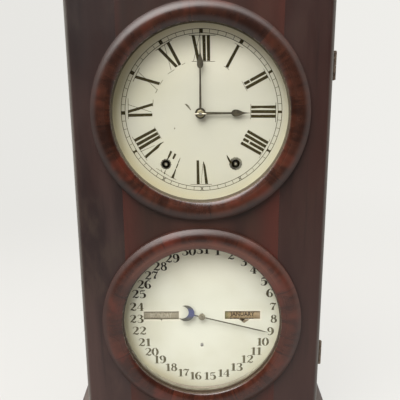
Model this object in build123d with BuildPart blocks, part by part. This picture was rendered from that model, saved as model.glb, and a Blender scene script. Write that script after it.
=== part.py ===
"""Shelf clock with two dials: hours and minutes above, a perpetual calendar below.

Millimetres. +Z is up, the front faces -Y and +X is to the right of someone who reads the dials.
The origin is the centre of the footprint, on the surface that the clock stands on.
"""
from build123d import *
from math import atan2, cos, degrees, hypot, radians, sin, sqrt, tau
import os

os.makedirs("parts", exist_ok=True)

# ------------------------------------------------------------------ driving sizes: case and door
case_width = 284.0            # over the outer faces of the two side panels
case_depth = 100.0            # front edge of the side panels to the back
side_thickness = 14.0
board_thickness = 14.0        # top and bottom boards
back_thickness = 8.0
glue_block_size = 16.0
glue_block_length = 22.0
base_height = 65.0
base_plinth_height = 30.0
base_overhang = 30.0          # how far the plinth stands out of the case side
base_ledge = 16.0             # how far the ledge under the door stands out
cornice_height = 56.0
cornice_overhang = 18.0
door_thickness = 15.0
door_gap = 0.4                # door back to the front edges of the case
door_clearance = 2.0          # door to the base ledge and to the cornice
door_top_margin = 11.0        # upper bezel to the top of the door
door_bottom_margin = 18.0     # lower bezel to the bottom of the door
door_edge_round = 6.5
stile_width = 54.0
wood_seam = 0.04              # glue line between two boards

# ------------------------------------------------------------------ driving sizes: bezels and glass
dial_spacing = 245.4
upper_sight_radius = 95.0
lower_sight_radius = 92.3
upper_bezel_radius = 118.4
lower_bezel_radius = 117.4
bezel_height = 10.6
bezel_shoulder = 4.0          # upright flank of a bezel under its round back
bezel_lip_height = 2.3
bezel_lip_width = 1.4
glass_lap = 5.0               # glass behind the bezel, all round
glass_thickness = 2.0
glass_clearance = 0.3
retainer_width = 3.6
retainer_thickness = 3.4
retainer_fit = 0.15           # fillet ring inside the glass opening

# ------------------------------------------------------------------ driving sizes: hinges
hinge_height = 30.0
hinge_offset = 50.0           # hinge centres above the upper dial centre and below the lower one
hinge_axis_out = 2.8          # pin centre outside the case side
knuckle_radius = 2.5
hinge_pin_radius = 1.1
hinge_pin_fit = 0.05
knuckle_gap = 0.3
leaf_width = 11.0
leaf_thickness = 1.1

# ------------------------------------------------------------------ driving sizes: dials and hands
dial_recess = 1.0             # dial face behind the front edges of the case
dial_sheet = 0.8
dial_half = 110.0
post_size = 12.0
post_offset = 104.0
screw_radius = 1.2
screw_head_radius = 2.6
screw_head_height = 1.3
screw_length = 11.0
screw_fit = 0.05
winding_x = 39.5
winding_drop = 57.5
winding_hole_radius = 4.7
dial_centre_hole = 4.6
hour_hand_length = 55.0
minute_hand_length = 88.0
hand_thickness = 0.8
pipe_wall = 1.65              # wall of the hour hand's pipe
hour_hand_lift = 3.0          # dial face to the back of the hour hand
hand_spacing = 2.4            # hour hand to minute hand
boss_radius = 6.0
washer_radius = 4.5
washer_height = 1.2
taper_pin_length = 12.6
taper_pin_radius = 0.7
window_inner = 28.0           # inner ends of the calendar windows
window_outer = 71.0
window_height = 10.8
notch_width = 6.0
notch_height = 3.4
date_count = 31
date_shown = 9
date_hand_length = 83.0
date_hand_width = 1.3
date_hand_lift = 4.0
date_hub_radius = 4.2
crescent_radius = 10.3
crescent_distance = 20.0
crescent_bite_radius = 8.3
crescent_bite_shift = 5.0
setting_hole_drop = 40.0
setting_hole = (1.9, 2.8)     # half width and half height
date_arbor_play = 0.4         # dial to the date arbor

# ------------------------------------------------------------------ driving sizes: movement
plate_thickness = 1.6
plate_half_width = 66.0
plate_rise = 70.0             # plate above the dial centre
plate_drop = 98.0             # plate below the dial centre
pillar_inset = 6.0
pillar_radius = 4.0
pillar_neck_radius = 2.2
pillar_foot_radius = 5.0      # spacers between the back plate and the back board
pillar_end = 1.2              # pillar in front of the front plate
arbor_radius = 1.5
small_arbor_radius = 0.95
pivot_radius = 0.8
running_fit = 0.05
wheel_thickness = 1.2
wheel_rim = 2.2               # metal between the teeth and the arms' windows
wheel_hub = 2.6
wheel_arm = 2.4
wheel_lap = 0.2               # how far a wheel reaches into the arbor that it is fixed to
great_wheel_thickness = 1.6
first_plane = 3.6             # front plate to the first wheel
plane_pitch = 5.2             # from one wheel plane to the next
motion_plane = 5.2            # front plate to the minute wheel, forwards
motion_pitch = 6.6            # minute wheel to hour wheel
motion_dial_gap = 12.0        # hour wheel to the back of the dial
lantern_half = 1.5            # half the free length of a lantern pinion's rods
lantern_disc = 0.8
rod_share = 0.26              # rod radius as a share of the tooth pitch, over tau / 2
tooth_share = 0.42            # tooth width at the pitch circle as a share of the tooth pitch

great_teeth = 60
second_rods = 10
great_module = 1.0
second_teeth = 48
centre_rods = 12
centre_teeth = 60
third_rods = 6
centre_module = 0.8
third_teeth = 60
escape_rods = 6
third_module = 0.75
escape_teeth = 36
escape_radius = 15.0
escape_tooth = 2.0            # depth of the escape wheel's teeth
escape_rim = 2.4
escape_arm = 2.2
escape_hub = 3.0
escape_rise = 36.0            # escape arbor above the dial centre
verge_gap = 1.3               # pallets to the escape wheel
pallet_thickness = 1.6
pallet_sweep = 100.0          # degrees of the wheel that the pallets span
crutch_gap = 4.0              # back plate to the crutch
crutch_width = 1.6
fork_wall = 1.2
fork_reach = 3.0              # fork past the pendulum rod
verge_rise = 54.0             # verge arbor and pendulum suspension above the dial centre
minute_teeth = 36
cannon_rods = 12
minute_module = 0.7
hour_teeth = 40
motion_rods = 10
centre_pipe_wall = 0.8
stud_pipe_wall = 0.9          # pipe of the minute wheel on its stud

winding_arbor_radius = 3.0
winding_square = 3.9
spring_outer_radius = 23.0
spring_strip = 0.6
spring_width = 15.0
spring_half_turns = 10
ratchet_radius = 9.0
ratchet_teeth = 16
pendulum_gap = 30.0           # back plate to back board
pendulum_length = 248.5       # half-second pendulum, suspension to the middle of the bob
pendulum_rod_radius = 1.1
suspension_length = 9.0
suspension_width = 3.2
suspension_strip = 0.4
suspension_arm = 4.0          # half width of the arm that carries the pendulum
suspension_jaw = 4.0
rating_nut_radius = 3.4
rating_nut_height = 4.8
rod_tail = 8.8                # rod below the bob
bob_radius = 28.0
bob_thickness = 11.0
crutch_drop = 40.0
gong_wire_radius = 1.3
gong_inner_radius = 17.0
gong_pitch = 6.0
gong_half_turns = 7           # an odd number, so that the free end is on the hammer side
gong_block_size = 12.0
gong_board_gap = 3.6          # gong wire to the back board
gong_x = -50.0
gong_drop = 136.0             # gong centre below the upper dial centre
hammer_x = -56.0
hammer_drop = 66.0
hammer_head_radius = 5.0
hammer_head_length = 8.6
hammer_head_rise = 6.0        # head above the gong centre
hammer_gap = 0.5              # head to the gong wire
hammer_rod_radius = 1.0

# ------------------------------------------------------------------ driving sizes: calendar
frame_thickness = 1.4
frame_side_margin = 8.2       # front plate past the outer cheeks
frame_half_height = 46.0
roller_radius = 16.0
roller_gap = 0.6              # roller to the back of the frame's front plate line
roller_side_gap = 1.2
roller_axle_radius = 1.2
cheek_thickness = 1.6
date_arbor_radius = 2.4
date_wheel_radius = 36.0
date_tooth = 3.4
date_rim = 3.6
date_arm = 3.0
date_hub = 3.0                # metal round the date arbor
date_arbor_step = 0.8
date_arbor_reach = 2.4        # arbor in front of the back of the date hand
date_wheel_gap = 2.4          # rollers to the date wheel
lever_gap = 1.6               # date wheel to lever
lever_thickness = 1.4
lever_length = 62.0
lever_half_width = 3.4
lever_tail = 8.0
lever_rod_out = 6.0           # lift rod outside the lever pivot
lever_aim_out = 10.0          # point that the lever reaches for, left of the date arbor
lever_aim_rise = 40.0
lever_rod_height = 120.0
lever_pivot_in = 13.7         # lever pivot inside the outer cheek
lever_pivot_rise = 28.5       # lever pivot above the roller axles
lever_boss = 6.0              # metal all round the lever pivot
cheek_half_height = 9.0
roller_overlap = 2.0          # roller past each end of its window

# ------------------------------------------------------------------ places that follow from the sizes
half_case = case_width / 2
door_bottom_z = base_height + door_clearance
lower_dial_z = door_bottom_z + door_bottom_margin + lower_bezel_radius
upper_dial_z = lower_dial_z + dial_spacing
door_top_z = upper_dial_z + upper_bezel_radius + door_top_margin
cornice_bottom_z = door_top_z + door_clearance
case_top_z = cornice_bottom_z + cornice_height
total_depth = case_depth + door_gap + door_thickness + base_overhang
back_y = total_depth / 2
board_front_y = back_y - back_thickness
case_front_y = back_y - case_depth
door_back_y = case_front_y - door_gap
door_front_y = door_back_y - door_thickness
inner_half = half_case - side_thickness

dial_front_y = case_front_y + dial_recess
dial_back_y = dial_front_y + dial_sheet
hour_hand_back_y = dial_front_y - hour_hand_lift
minute_hand_back_y = hour_hand_back_y - hand_thickness - hand_spacing
arbor_tip_y = minute_hand_back_y - hand_thickness - washer_height - 3 * taper_pin_radius
plate_front_y = dial_back_y + motion_dial_gap + motion_pitch + motion_plane
train_front_y = plate_front_y + plate_thickness
train_back_y = train_front_y + 2 * first_plane + 5 * plane_pitch
plate_back_y = train_back_y + plate_thickness
minute_wheel_y = plate_front_y - motion_plane
hour_wheel_y = minute_wheel_y - motion_pitch


def train_plane(number):
    return train_front_y + first_plane + number * plane_pitch


# ------------------------------------------------------------------ shapes used again and again
def facing(y):
    """Plane across the clock at depth y: its x is +X, its y is +Z and it looks to the front."""
    return Plane(origin=(0, y, 0), x_dir=(1, 0, 0), z_dir=(0, -1, 0))


def block(x_range, y_range, z_range, mode=Mode.ADD):
    middle = [(low + high) / 2 for low, high in (x_range, y_range, z_range)]
    size = [high - low for low, high in (x_range, y_range, z_range)]
    with Locations(tuple(middle)):
        Box(*size, mode=mode)


def disc(centre, radius, front_y, rear_y, mode=Mode.ADD):
    with BuildSketch(facing(rear_y)) as face:
        with Locations(centre):
            Circle(radius)
    extrude(face.sketch, amount=rear_y - front_y, mode=mode)


def collar(centre, inner_radius, outer_radius, front_y, rear_y):
    with BuildSketch(facing(rear_y)) as face:
        with Locations(centre):
            Circle(outer_radius)
            Circle(inner_radius, mode=Mode.SUBTRACT)
    extrude(face.sketch, amount=rear_y - front_y)


def cross_rod(x_range, y, z, radius, mode=Mode.ADD):
    """A rod along X."""
    with BuildSketch(Plane.YZ.offset(x_range[0])) as face:
        with Locations((y, z)):
            Circle(radius)
    extrude(face.sketch, amount=x_range[1] - x_range[0], mode=mode)


def upright_rod(x, y, z_range, radius, mode=Mode.ADD):
    with BuildSketch(Plane.XY.offset(z_range[0])) as face:
        with Locations((x, y)):
            Circle(radius)
    extrude(face.sketch, amount=z_range[1] - z_range[0], mode=mode)


def towards(start, end):
    """Angle of the line from start to end, across the clock, in degrees."""
    return degrees(atan2(end[1] - start[1], end[0] - start[0]))


def from_point(start, angle, distance):
    return (start[0] + distance * cos(radians(angle)), start[1] + distance * sin(radians(angle)))


def toothed_wheel(centre, teeth, module, thickness, bore, middle_y, gap_angle, arms=0):
    """Wheel with short pointed teeth. It has a gap between two teeth at gap_angle."""
    pitch_radius = module * teeth / 2
    pitch = tau / teeth
    root_radius = pitch_radius - 0.95 * module
    tip_radius = pitch_radius + 0.8 * module
    half_root = 0.62 * tooth_share * pitch
    half_middle = tooth_share * pitch / 2
    half_tip = 0.13 * pitch
    corners = []
    for tooth in range(teeth):
        middle = radians(gap_angle) + (tooth + 0.5) * pitch
        for radius, turn in (
            (root_radius, -half_root),
            (pitch_radius, -half_middle),
            (tip_radius, -half_tip),
            (tip_radius, half_tip),
            (pitch_radius, half_middle),
            (root_radius, half_root),
        ):
            corners.append((radius * cos(middle + turn), radius * sin(middle + turn)))
    with BuildSketch(facing(middle_y + thickness / 2)) as outline:
        with Locations(centre):
            Polygon(*corners, align=None)
            Circle(bore, mode=Mode.SUBTRACT)
    extrude(outline.sketch, amount=thickness)
    if arms:
        rim = root_radius - wheel_rim
        hub = bore + wheel_hub
        with BuildSketch(facing(middle_y + thickness / 2)) as windows:
            with Locations(centre):
                Circle(rim)
                Circle(hub, mode=Mode.SUBTRACT)
                for turn in range(arms):
                    turned = turn * 180 / arms
                    Rectangle(rim * 2, wheel_arm, rotation=turned, mode=Mode.SUBTRACT)
        extrude(windows.sketch, amount=thickness, mode=Mode.SUBTRACT)


def lantern_pinion(centre, rods, module, bore, middle_y, rod_angle):
    """Rods between two discs. It has a rod at rod_angle."""
    pitch_radius = module * rods / 2
    rod_radius = rod_share * module * tau / 4
    reach = lantern_half + lantern_disc
    for front in (middle_y - reach, middle_y + lantern_half):
        collar(centre, bore, pitch_radius + rod_radius + 0.4, front, front + lantern_disc)
    with BuildSketch(facing(middle_y + reach)) as ends:
        with Locations(centre):
            with PolarLocations(pitch_radius, rods, start_angle=rod_angle):
                Circle(rod_radius)
    extrude(ends.sketch, amount=2 * reach)


# ------------------------------------------------------------------ case
hinge_centres_z = (upper_dial_z + hinge_offset, lower_dial_z - hinge_offset)
hinge_x = half_case + hinge_axis_out
hinge_y = case_front_y - door_gap / 2
leaf_inner_x = half_case - leaf_width
hinge_screw_x = half_case - leaf_width / 2 - 0.6
hinge_screw_reach = hinge_height / 4


def hinge_screw_heights():
    return [z + side * hinge_screw_reach for z in hinge_centres_z for side in (-1, 1)]


def side_panel(side, hinged):
    inner, outer = sorted((side * inner_half, side * half_case))
    block((inner, outer), (case_front_y, back_y), (0, case_top_z - board_thickness))
    if hinged:
        for z in hinge_centres_z:
            block(
                (leaf_inner_x, half_case + 1),
                (case_front_y - 1, case_front_y + leaf_thickness),
                (z - hinge_height / 2, z + hinge_height / 2),
                Mode.SUBTRACT,
            )
        for z in hinge_screw_heights():
            disc(
                (hinge_screw_x, z),
                screw_radius + screw_fit,
                case_front_y,
                case_front_y + screw_length + 1,
                Mode.SUBTRACT,
            )


with BuildPart() as side_panel_left:
    side_panel(-1, False)
side_panel_left.part.label = "side_panel_left"
export_step(side_panel_left.part, "parts/side_panel_left.step")

with BuildPart() as side_panel_right:
    side_panel(1, True)
side_panel_right.part.label = "side_panel_right"
export_step(side_panel_right.part, "parts/side_panel_right.step")

with BuildPart() as top_board:
    block(
        (-half_case, half_case),
        (case_front_y, back_y),
        (case_top_z - board_thickness, case_top_z),
    )
top_board.part.label = "top_board"
export_step(top_board.part, "parts/top_board.step")

with BuildPart() as bottom_board:
    block(
        (-inner_half, inner_half),
        (case_front_y, board_front_y),
        (base_height - board_thickness, base_height),
    )
bottom_board.part.label = "bottom_board"
export_step(bottom_board.part, "parts/bottom_board.step")

with BuildPart() as glue_blocks:
    for side in (-1, 1):
        for y in (case_front_y + glue_block_length, board_front_y - glue_block_length):
            block(
                sorted((side * inner_half, side * (inner_half - glue_block_size))),
                (y - glue_block_length / 2, y + glue_block_length / 2),
                (base_height - board_thickness - glue_block_size, base_height - board_thickness),
            )
glue_blocks.part.label = "glue_blocks"
export_step(glue_blocks.part, "parts/glue_blocks.step")

with BuildPart() as back_board:
    block(
        (-inner_half, inner_half),
        (board_front_y, back_y),
        (0, case_top_z - board_thickness),
    )
back_board.part.label = "back_board"
export_step(back_board.part, "parts/back_board.step")


# ------------------------------------------------------------------ base and cornice mouldings
ogee_start = base_overhang - 1.6
ogee_bottom = base_plinth_height + 2.0
ogee_top = base_height - 8.0
fascia_bottom = cornice_bottom_z + 0.5 * cornice_height
fascia_top = case_top_z - 9.0
cornice_foot = 4.0


def base_profile(start, direction):
    """Section of the base moulding: plinth, ogee and ledge, outwards from start."""

    def at(out, z):
        return (start + direction * out, z)

    middle = at((ogee_start + base_ledge + 1) / 2, (ogee_bottom + ogee_top) / 2)
    Line(at(0, 0), at(base_overhang, 0))
    Line(at(base_overhang, 0), at(base_overhang, base_plinth_height))
    Line(at(base_overhang, base_plinth_height), at(ogee_start, ogee_bottom))
    SagittaArc(at(ogee_start, ogee_bottom), middle, 2.6 * direction)
    SagittaArc(middle, at(base_ledge + 1, ogee_top), -2.6 * direction)
    Line(at(base_ledge + 1, ogee_top), at(base_ledge, ogee_top + 1))
    Line(at(base_ledge, ogee_top + 1), at(base_ledge, base_height))
    Line(at(base_ledge, base_height), at(0, base_height))
    Line(at(0, base_height), at(0, 0))


def cornice_profile(start, direction):
    """Section of the cornice: bead, cove, fascia and crown, outwards from start."""

    def at(out, z):
        return (start + direction * out, z)

    cove_foot = at(cornice_foot, cornice_bottom_z + 5)
    cove_top = at(cornice_overhang - 6, fascia_bottom)
    Line(at(0, cornice_bottom_z), at(cornice_foot, cornice_bottom_z))
    Line(at(cornice_foot, cornice_bottom_z), cove_foot)
    SagittaArc(cove_foot, cove_top, -3.5 * direction)
    Line(cove_top, at(cornice_overhang - 4, fascia_bottom))
    Line(at(cornice_overhang - 4, fascia_bottom), at(cornice_overhang - 4, fascia_top))
    Line(at(cornice_overhang - 4, fascia_top), at(cornice_overhang, fascia_top + 3))
    Line(at(cornice_overhang, fascia_top + 3), at(cornice_overhang, case_top_z))
    Line(at(cornice_overhang, case_top_z), at(0, case_top_z))
    Line(at(0, case_top_z), at(0, cornice_bottom_z))


def mitre(side, keep_front, z_range, reach):
    """Cut a 45 degree mitre at one front corner, and keep the front or the side moulding."""
    corner = (side * half_case, door_front_y)
    outer = (side * (half_case + reach), door_front_y - reach)
    if keep_front:
        third = (side * (half_case + reach), door_front_y)
    else:
        third = (side * half_case, door_front_y - reach)
    with BuildSketch(Plane.XY.offset(z_range[0] - 1)) as wedge:
        Polygon(corner, outer, third, align=None)
    extrude(wedge.sketch, amount=z_range[1] - z_range[0] + 2, mode=Mode.SUBTRACT)


def front_moulding(profile, overhang, z_range):
    reach = overhang + 2
    with BuildSketch(Plane.YZ.offset(-half_case - overhang)) as section:
        with BuildLine():
            profile(door_front_y, -1)
        make_face()
    extrude(section.sketch, amount=2 * (half_case + overhang))
    for side in (-1, 1):
        mitre(side, True, z_range, reach)
    block((-half_case, half_case), (door_front_y, case_front_y), z_range)


def side_moulding(side, profile, overhang, z_range):
    with BuildSketch(facing(back_y)) as section:
        with BuildLine():
            profile(side * half_case, side)
        make_face()
    extrude(section.sketch, amount=back_y - door_front_y + overhang)
    mitre(side, False, z_range, overhang + 2)


with BuildPart() as base_front:
    front_moulding(base_profile, base_overhang, (0, base_height))
base_front.part.label = "base_front"
export_step(base_front.part, "parts/base_front.step")

with BuildPart() as cornice_front:
    front_moulding(cornice_profile, cornice_overhang, (cornice_bottom_z, case_top_z))
cornice_front.part.label = "cornice_front"
export_step(cornice_front.part, "parts/cornice_front.step")

for side_name, side in (("left", -1), ("right", 1)):
    with BuildPart() as base_side:
        side_moulding(side, base_profile, base_overhang, (0, base_height))
    base_side.part.label = "base_" + side_name
    export_step(base_side.part, "parts/base_" + side_name + ".step")

    with BuildPart() as cornice_side:
        side_moulding(side, cornice_profile, cornice_overhang, (cornice_bottom_z, case_top_z))
    cornice_side.part.label = "cornice_" + side_name
    export_step(cornice_side.part, "parts/cornice_" + side_name + ".step")


# ------------------------------------------------------------------ dial posts and wood screws
post_places = [
    (x * post_offset, z + up * post_offset)
    for z in (upper_dial_z, lower_dial_z)
    for x in (-1, 1)
    for up in (-1, 1)
]

with BuildPart() as dial_posts:
    for x, z in post_places:
        block(
            (x - post_size / 2, x + post_size / 2),
            (dial_back_y, board_front_y),
            (z - post_size / 2, z + post_size / 2),
        )
        disc(
            (x, z),
            screw_radius + screw_fit,
            dial_back_y,
            dial_back_y + screw_length,
            Mode.SUBTRACT,
        )
dial_posts.part.label = "dial_posts"
export_step(dial_posts.part, "parts/dial_posts.step")


def wood_screw(centre, seat_y, direction):
    """Screw whose head sits at seat_y. Its shank runs along direction, +1 to the back."""
    shank = sorted((seat_y, seat_y + direction * screw_length))
    head = sorted((seat_y, seat_y - direction * screw_head_height))
    disc(centre, screw_radius, *shank)
    disc(centre, screw_head_radius, *head)
    slot_y = seat_y - direction * screw_head_height
    block(
        (centre[0] - screw_head_radius, centre[0] + screw_head_radius),
        (slot_y - 0.5, slot_y + 0.5),
        (centre[1] - 0.35, centre[1] + 0.35),
        Mode.SUBTRACT,
    )


def sunk_screw(centre, face_y, direction):
    """Countersunk screw, flush with the leaf at face_y."""
    floor_y = face_y + direction * leaf_thickness
    with BuildSketch(facing(face_y)) as top:
        with Locations(centre):
            Circle(screw_head_radius)
    with BuildSketch(facing(floor_y)) as foot:
        with Locations(centre):
            Circle(screw_radius)
    loft([top.sketch, foot.sketch])
    shank = sorted((floor_y, face_y + direction * screw_length))
    disc(centre, screw_radius, *shank)


def leaf_sink(centre, face_y, direction):
    """Countersink in a hinge leaf for sunk_screw."""
    floor_y = face_y + direction * leaf_thickness
    with BuildSketch(facing(face_y)) as top:
        with Locations(centre):
            Circle(screw_head_radius + screw_fit)
    with BuildSketch(facing(floor_y)) as foot:
        with Locations(centre):
            Circle(screw_radius + screw_fit)
    loft([top.sketch, foot.sketch], mode=Mode.SUBTRACT)


with BuildPart() as dial_screws:
    for place in post_places:
        wood_screw(place, dial_front_y, 1)
dial_screws.part.label = "dial_screws"
export_step(dial_screws.part, "parts/dial_screws.step")


# ------------------------------------------------------------------ hinges
def knuckle_ranges(z):
    """Height ranges of the case's knuckle, above, and the door's knuckle, below."""
    half_gap = knuckle_gap / 2
    upper = (z + half_gap, z + hinge_height / 2)
    lower = (z - hinge_height / 2, z - half_gap)
    return upper, lower


def hinge_leaf(z, face_y, direction, own, bore):
    """Leaf let into the wood from face_y along direction, with its own knuckle."""
    leaf_y = sorted((face_y, face_y + direction * leaf_thickness))
    clear_x = hinge_x - knuckle_radius - knuckle_gap
    block((leaf_inner_x, hinge_x), leaf_y, own)
    block((leaf_inner_x, clear_x), leaf_y, (z - hinge_height / 2, z + hinge_height / 2))
    upright_rod(hinge_x, hinge_y, own, knuckle_radius)
    upright_rod(hinge_x, hinge_y, own, bore, Mode.SUBTRACT)
    for side in (-1, 1):
        leaf_sink((hinge_screw_x, z + side * hinge_screw_reach), face_y, direction)


with BuildPart() as case_hinge_leaves:
    for z in hinge_centres_z:
        upper_knuckle = knuckle_ranges(z)[0]
        hinge_leaf(z, case_front_y, 1, upper_knuckle, hinge_pin_radius + screw_fit)
case_hinge_leaves.part.label = "case_hinge_leaves"
export_step(case_hinge_leaves.part, "parts/case_hinge_leaves.step")

with BuildPart() as door_hinge_leaves:
    for z in hinge_centres_z:
        lower_knuckle = knuckle_ranges(z)[1]
        hinge_leaf(z, door_back_y, -1, lower_knuckle, hinge_pin_radius + hinge_pin_fit)
door_hinge_leaves.part.label = "door_hinge_leaves"
export_step(door_hinge_leaves.part, "parts/door_hinge_leaves.step")

with BuildPart() as hinge_pins:
    for z in hinge_centres_z:
        reach = (z - hinge_height / 2 - 0.6, z + hinge_height / 2)
        upright_rod(hinge_x, hinge_y, reach, hinge_pin_radius)
        upright_rod(hinge_x, hinge_y, (reach[1], reach[1] + 0.8), knuckle_radius - 0.5)
hinge_pins.part.label = "hinge_pins"
export_step(hinge_pins.part, "parts/hinge_pins.step")

with BuildPart() as case_hinge_screws:
    for z in hinge_screw_heights():
        sunk_screw((hinge_screw_x, z), case_front_y, 1)
case_hinge_screws.part.label = "case_hinge_screws"
export_step(case_hinge_screws.part, "parts/case_hinge_screws.step")

with BuildPart() as door_hinge_screws:
    for z in hinge_screw_heights():
        sunk_screw((hinge_screw_x, z), door_back_y, -1)
door_hinge_screws.part.label = "door_hinge_screws"
export_step(door_hinge_screws.part, "parts/door_hinge_screws.step")


# ------------------------------------------------------------------ door
upper_hole_radius = upper_sight_radius + glass_lap
lower_hole_radius = lower_sight_radius + glass_lap
stile_inner_x = half_case - stile_width
door_y = (door_front_y, door_back_y)


def cut_dial_openings():
    disc((0, upper_dial_z), upper_hole_radius, door_front_y - 1, door_back_y + 1, Mode.SUBTRACT)
    disc((0, lower_dial_z), lower_hole_radius, door_front_y - 1, door_back_y + 1, Mode.SUBTRACT)


def round_front_edges(part, axis, place):
    """Round the front edges that run along axis at the given places."""
    chosen = [
        edge
        for edge in part.edges().filter_by(axis)
        if abs(edge.center().Y - door_front_y) < 0.01 and place(edge.center())
    ]
    fillet(chosen, radius=min(door_edge_round, 0.45 * door_thickness))


def door_stile(side):
    inner, outer = sorted((side * (stile_inner_x + wood_seam), side * half_case))
    block((inner, outer), door_y, (door_bottom_z, door_top_z))
    cut_dial_openings()


with BuildPart() as door_stile_left:
    door_stile(-1)
    round_front_edges(door_stile_left.part, Axis.Z, lambda c: abs(c.X + half_case) < 0.01)
door_stile_left.part.label = "door_stile_left"
export_step(door_stile_left.part, "parts/door_stile_left.step")

with BuildPart() as door_stile_right:
    door_stile(1)
    for z in hinge_centres_z:
        block(
            (leaf_inner_x, half_case + 1),
            (door_back_y - leaf_thickness, door_back_y + 1),
            (z - hinge_height / 2, z + hinge_height / 2),
            Mode.SUBTRACT,
        )
    for z in hinge_screw_heights():
        disc(
            (hinge_screw_x, z),
            screw_radius + screw_fit,
            door_back_y - screw_length - 0.5,
            door_back_y,
            Mode.SUBTRACT,
        )
    round_front_edges(door_stile_right.part, Axis.Z, lambda c: abs(c.X - half_case) < 0.01)
door_stile_right.part.label = "door_stile_right"
export_step(door_stile_right.part, "parts/door_stile_right.step")

rail_x = (-stile_inner_x, stile_inner_x)
for rail_name, rail_z in (
    ("door_rail_top", (upper_dial_z, door_top_z)),
    ("door_rail_middle", (lower_dial_z, upper_dial_z)),
    ("door_rail_bottom", (door_bottom_z, lower_dial_z)),
):
    with BuildPart() as door_rail:
        block(rail_x, door_y, rail_z)
        cut_dial_openings()
    door_rail.part.label = rail_name
    export_step(door_rail.part, "parts/" + rail_name + ".step")


def bezel(dial_z, sight_radius, outer_radius):
    """Turned ring with a round back, upright flanks and a thin lip at the sight edge."""
    inner_radius = sight_radius + bezel_lip_width
    lip_y = door_front_y - bezel_lip_height
    flank_y = door_front_y - bezel_shoulder
    with BuildSketch(Plane.YZ) as section:
        with BuildLine():
            Line((door_front_y, dial_z + outer_radius), (door_front_y, dial_z + sight_radius))
            Line((door_front_y, dial_z + sight_radius), (lip_y, dial_z + sight_radius))
            Line((lip_y, dial_z + sight_radius), (lip_y, dial_z + inner_radius))
            Line((lip_y, dial_z + inner_radius), (flank_y, dial_z + inner_radius))
            EllipticalCenterArc(
                (flank_y, dial_z + (inner_radius + outer_radius) / 2),
                bezel_height - bezel_shoulder,
                (outer_radius - inner_radius) / 2,
                start_angle=90,
                arc_size=180,
            )
            Line((flank_y, dial_z + outer_radius), (door_front_y, dial_z + outer_radius))
        make_face()
    revolve(section.sketch, axis=Axis((0, 0, dial_z), (0, 1, 0)))


dial_rows = (
    ("upper", upper_dial_z, upper_sight_radius, upper_bezel_radius, upper_hole_radius),
    ("lower", lower_dial_z, lower_sight_radius, lower_bezel_radius, lower_hole_radius),
)
for row_name, dial_z, sight_radius, outer_radius, hole_radius in dial_rows:
    with BuildPart() as bezel_ring:
        bezel(dial_z, sight_radius, outer_radius)
    bezel_ring.part.label = "bezel_" + row_name
    export_step(bezel_ring.part, "parts/bezel_" + row_name + ".step")

    with BuildPart() as pane:
        disc(
            (0, dial_z),
            hole_radius - glass_clearance,
            door_front_y,
            door_front_y + glass_thickness,
        )
    pane.part.label = "glass_" + row_name
    export_step(pane.part, "parts/glass_" + row_name + ".step")

with BuildPart() as glass_retainers:
    for row_name, dial_z, sight_radius, outer_radius, hole_radius in dial_rows:
        collar(
            (0, dial_z),
            hole_radius - retainer_width,
            hole_radius - retainer_fit,
            door_front_y + glass_thickness,
            door_front_y + glass_thickness + retainer_thickness,
        )
glass_retainers.part.label = "glass_retainers"
export_step(glass_retainers.part, "parts/glass_retainers.step")


# ------------------------------------------------------------------ dials
def dial_blank(dial_z):
    with BuildSketch(facing(dial_back_y)) as sheet:
        with Locations((0, dial_z)):
            Rectangle(2 * dial_half, 2 * dial_half)
        for x, z in post_places:
            if abs(z - dial_z) < dial_half:
                with Locations((x, z)):
                    Circle(screw_radius + screw_fit, mode=Mode.SUBTRACT)
    extrude(sheet.sketch, amount=dial_sheet)


winding_places = {
    "time": (winding_x, upper_dial_z - winding_drop),
    "strike": (-winding_x, upper_dial_z - winding_drop),
}

with BuildPart() as time_dial:
    dial_blank(upper_dial_z)
    disc((0, upper_dial_z), dial_centre_hole, dial_front_y - 1, dial_back_y + 1, Mode.SUBTRACT)
    for place in winding_places.values():
        disc(place, winding_hole_radius, dial_front_y - 1, dial_back_y + 1, Mode.SUBTRACT)
time_dial.part.label = "time_dial"
export_step(time_dial.part, "parts/time_dial.step")

window_middle = (window_inner + window_outer) / 2
window_length = window_outer - window_inner

with BuildPart() as calendar_dial:
    dial_blank(lower_dial_z)
    with BuildSketch(facing(dial_back_y)) as openings:
        with Locations((-window_middle, lower_dial_z), (window_middle, lower_dial_z)):
            Rectangle(window_length, window_height)
        with Locations((window_middle, lower_dial_z - window_height / 2)):
            Polygon((-notch_width / 2, 0), (notch_width / 2, 0), (0, -notch_height), align=None)
        with Locations((-window_middle, lower_dial_z - window_height / 2)):
            Polygon((-notch_width / 4, 0), (notch_width / 4, 0), (0, -notch_height / 2), align=None)
        with Locations((0, lower_dial_z)):
            Circle(date_arbor_radius + date_arbor_play)
        with Locations((0, lower_dial_z - setting_hole_drop)):
            Ellipse(*setting_hole)
    extrude(openings.sketch, amount=dial_sheet, mode=Mode.SUBTRACT)
calendar_dial.part.label = "calendar_dial"
export_step(calendar_dial.part, "parts/calendar_dial.step")


# ------------------------------------------------------------------ arbor places across the movement
centre_place = (0.0, upper_dial_z)
second_distance = great_module * (great_teeth + second_rods) / 2
winding_to_centre = hypot(winding_x, winding_drop)
second_module = 2 * (winding_to_centre - second_distance) / (second_teeth + centre_rods)
third_distance = centre_module * (centre_teeth + third_rods) / 2
escape_distance = third_module * (third_teeth + escape_rods) / 2
third_up = (third_distance**2 - escape_distance**2 + escape_rise**2) / (2 * escape_rise)
third_out = sqrt(third_distance**2 - third_up**2)
motion_distance = minute_module * (minute_teeth + cannon_rods) / 2
hour_module = 2 * motion_distance / (hour_teeth + motion_rods)

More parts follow.
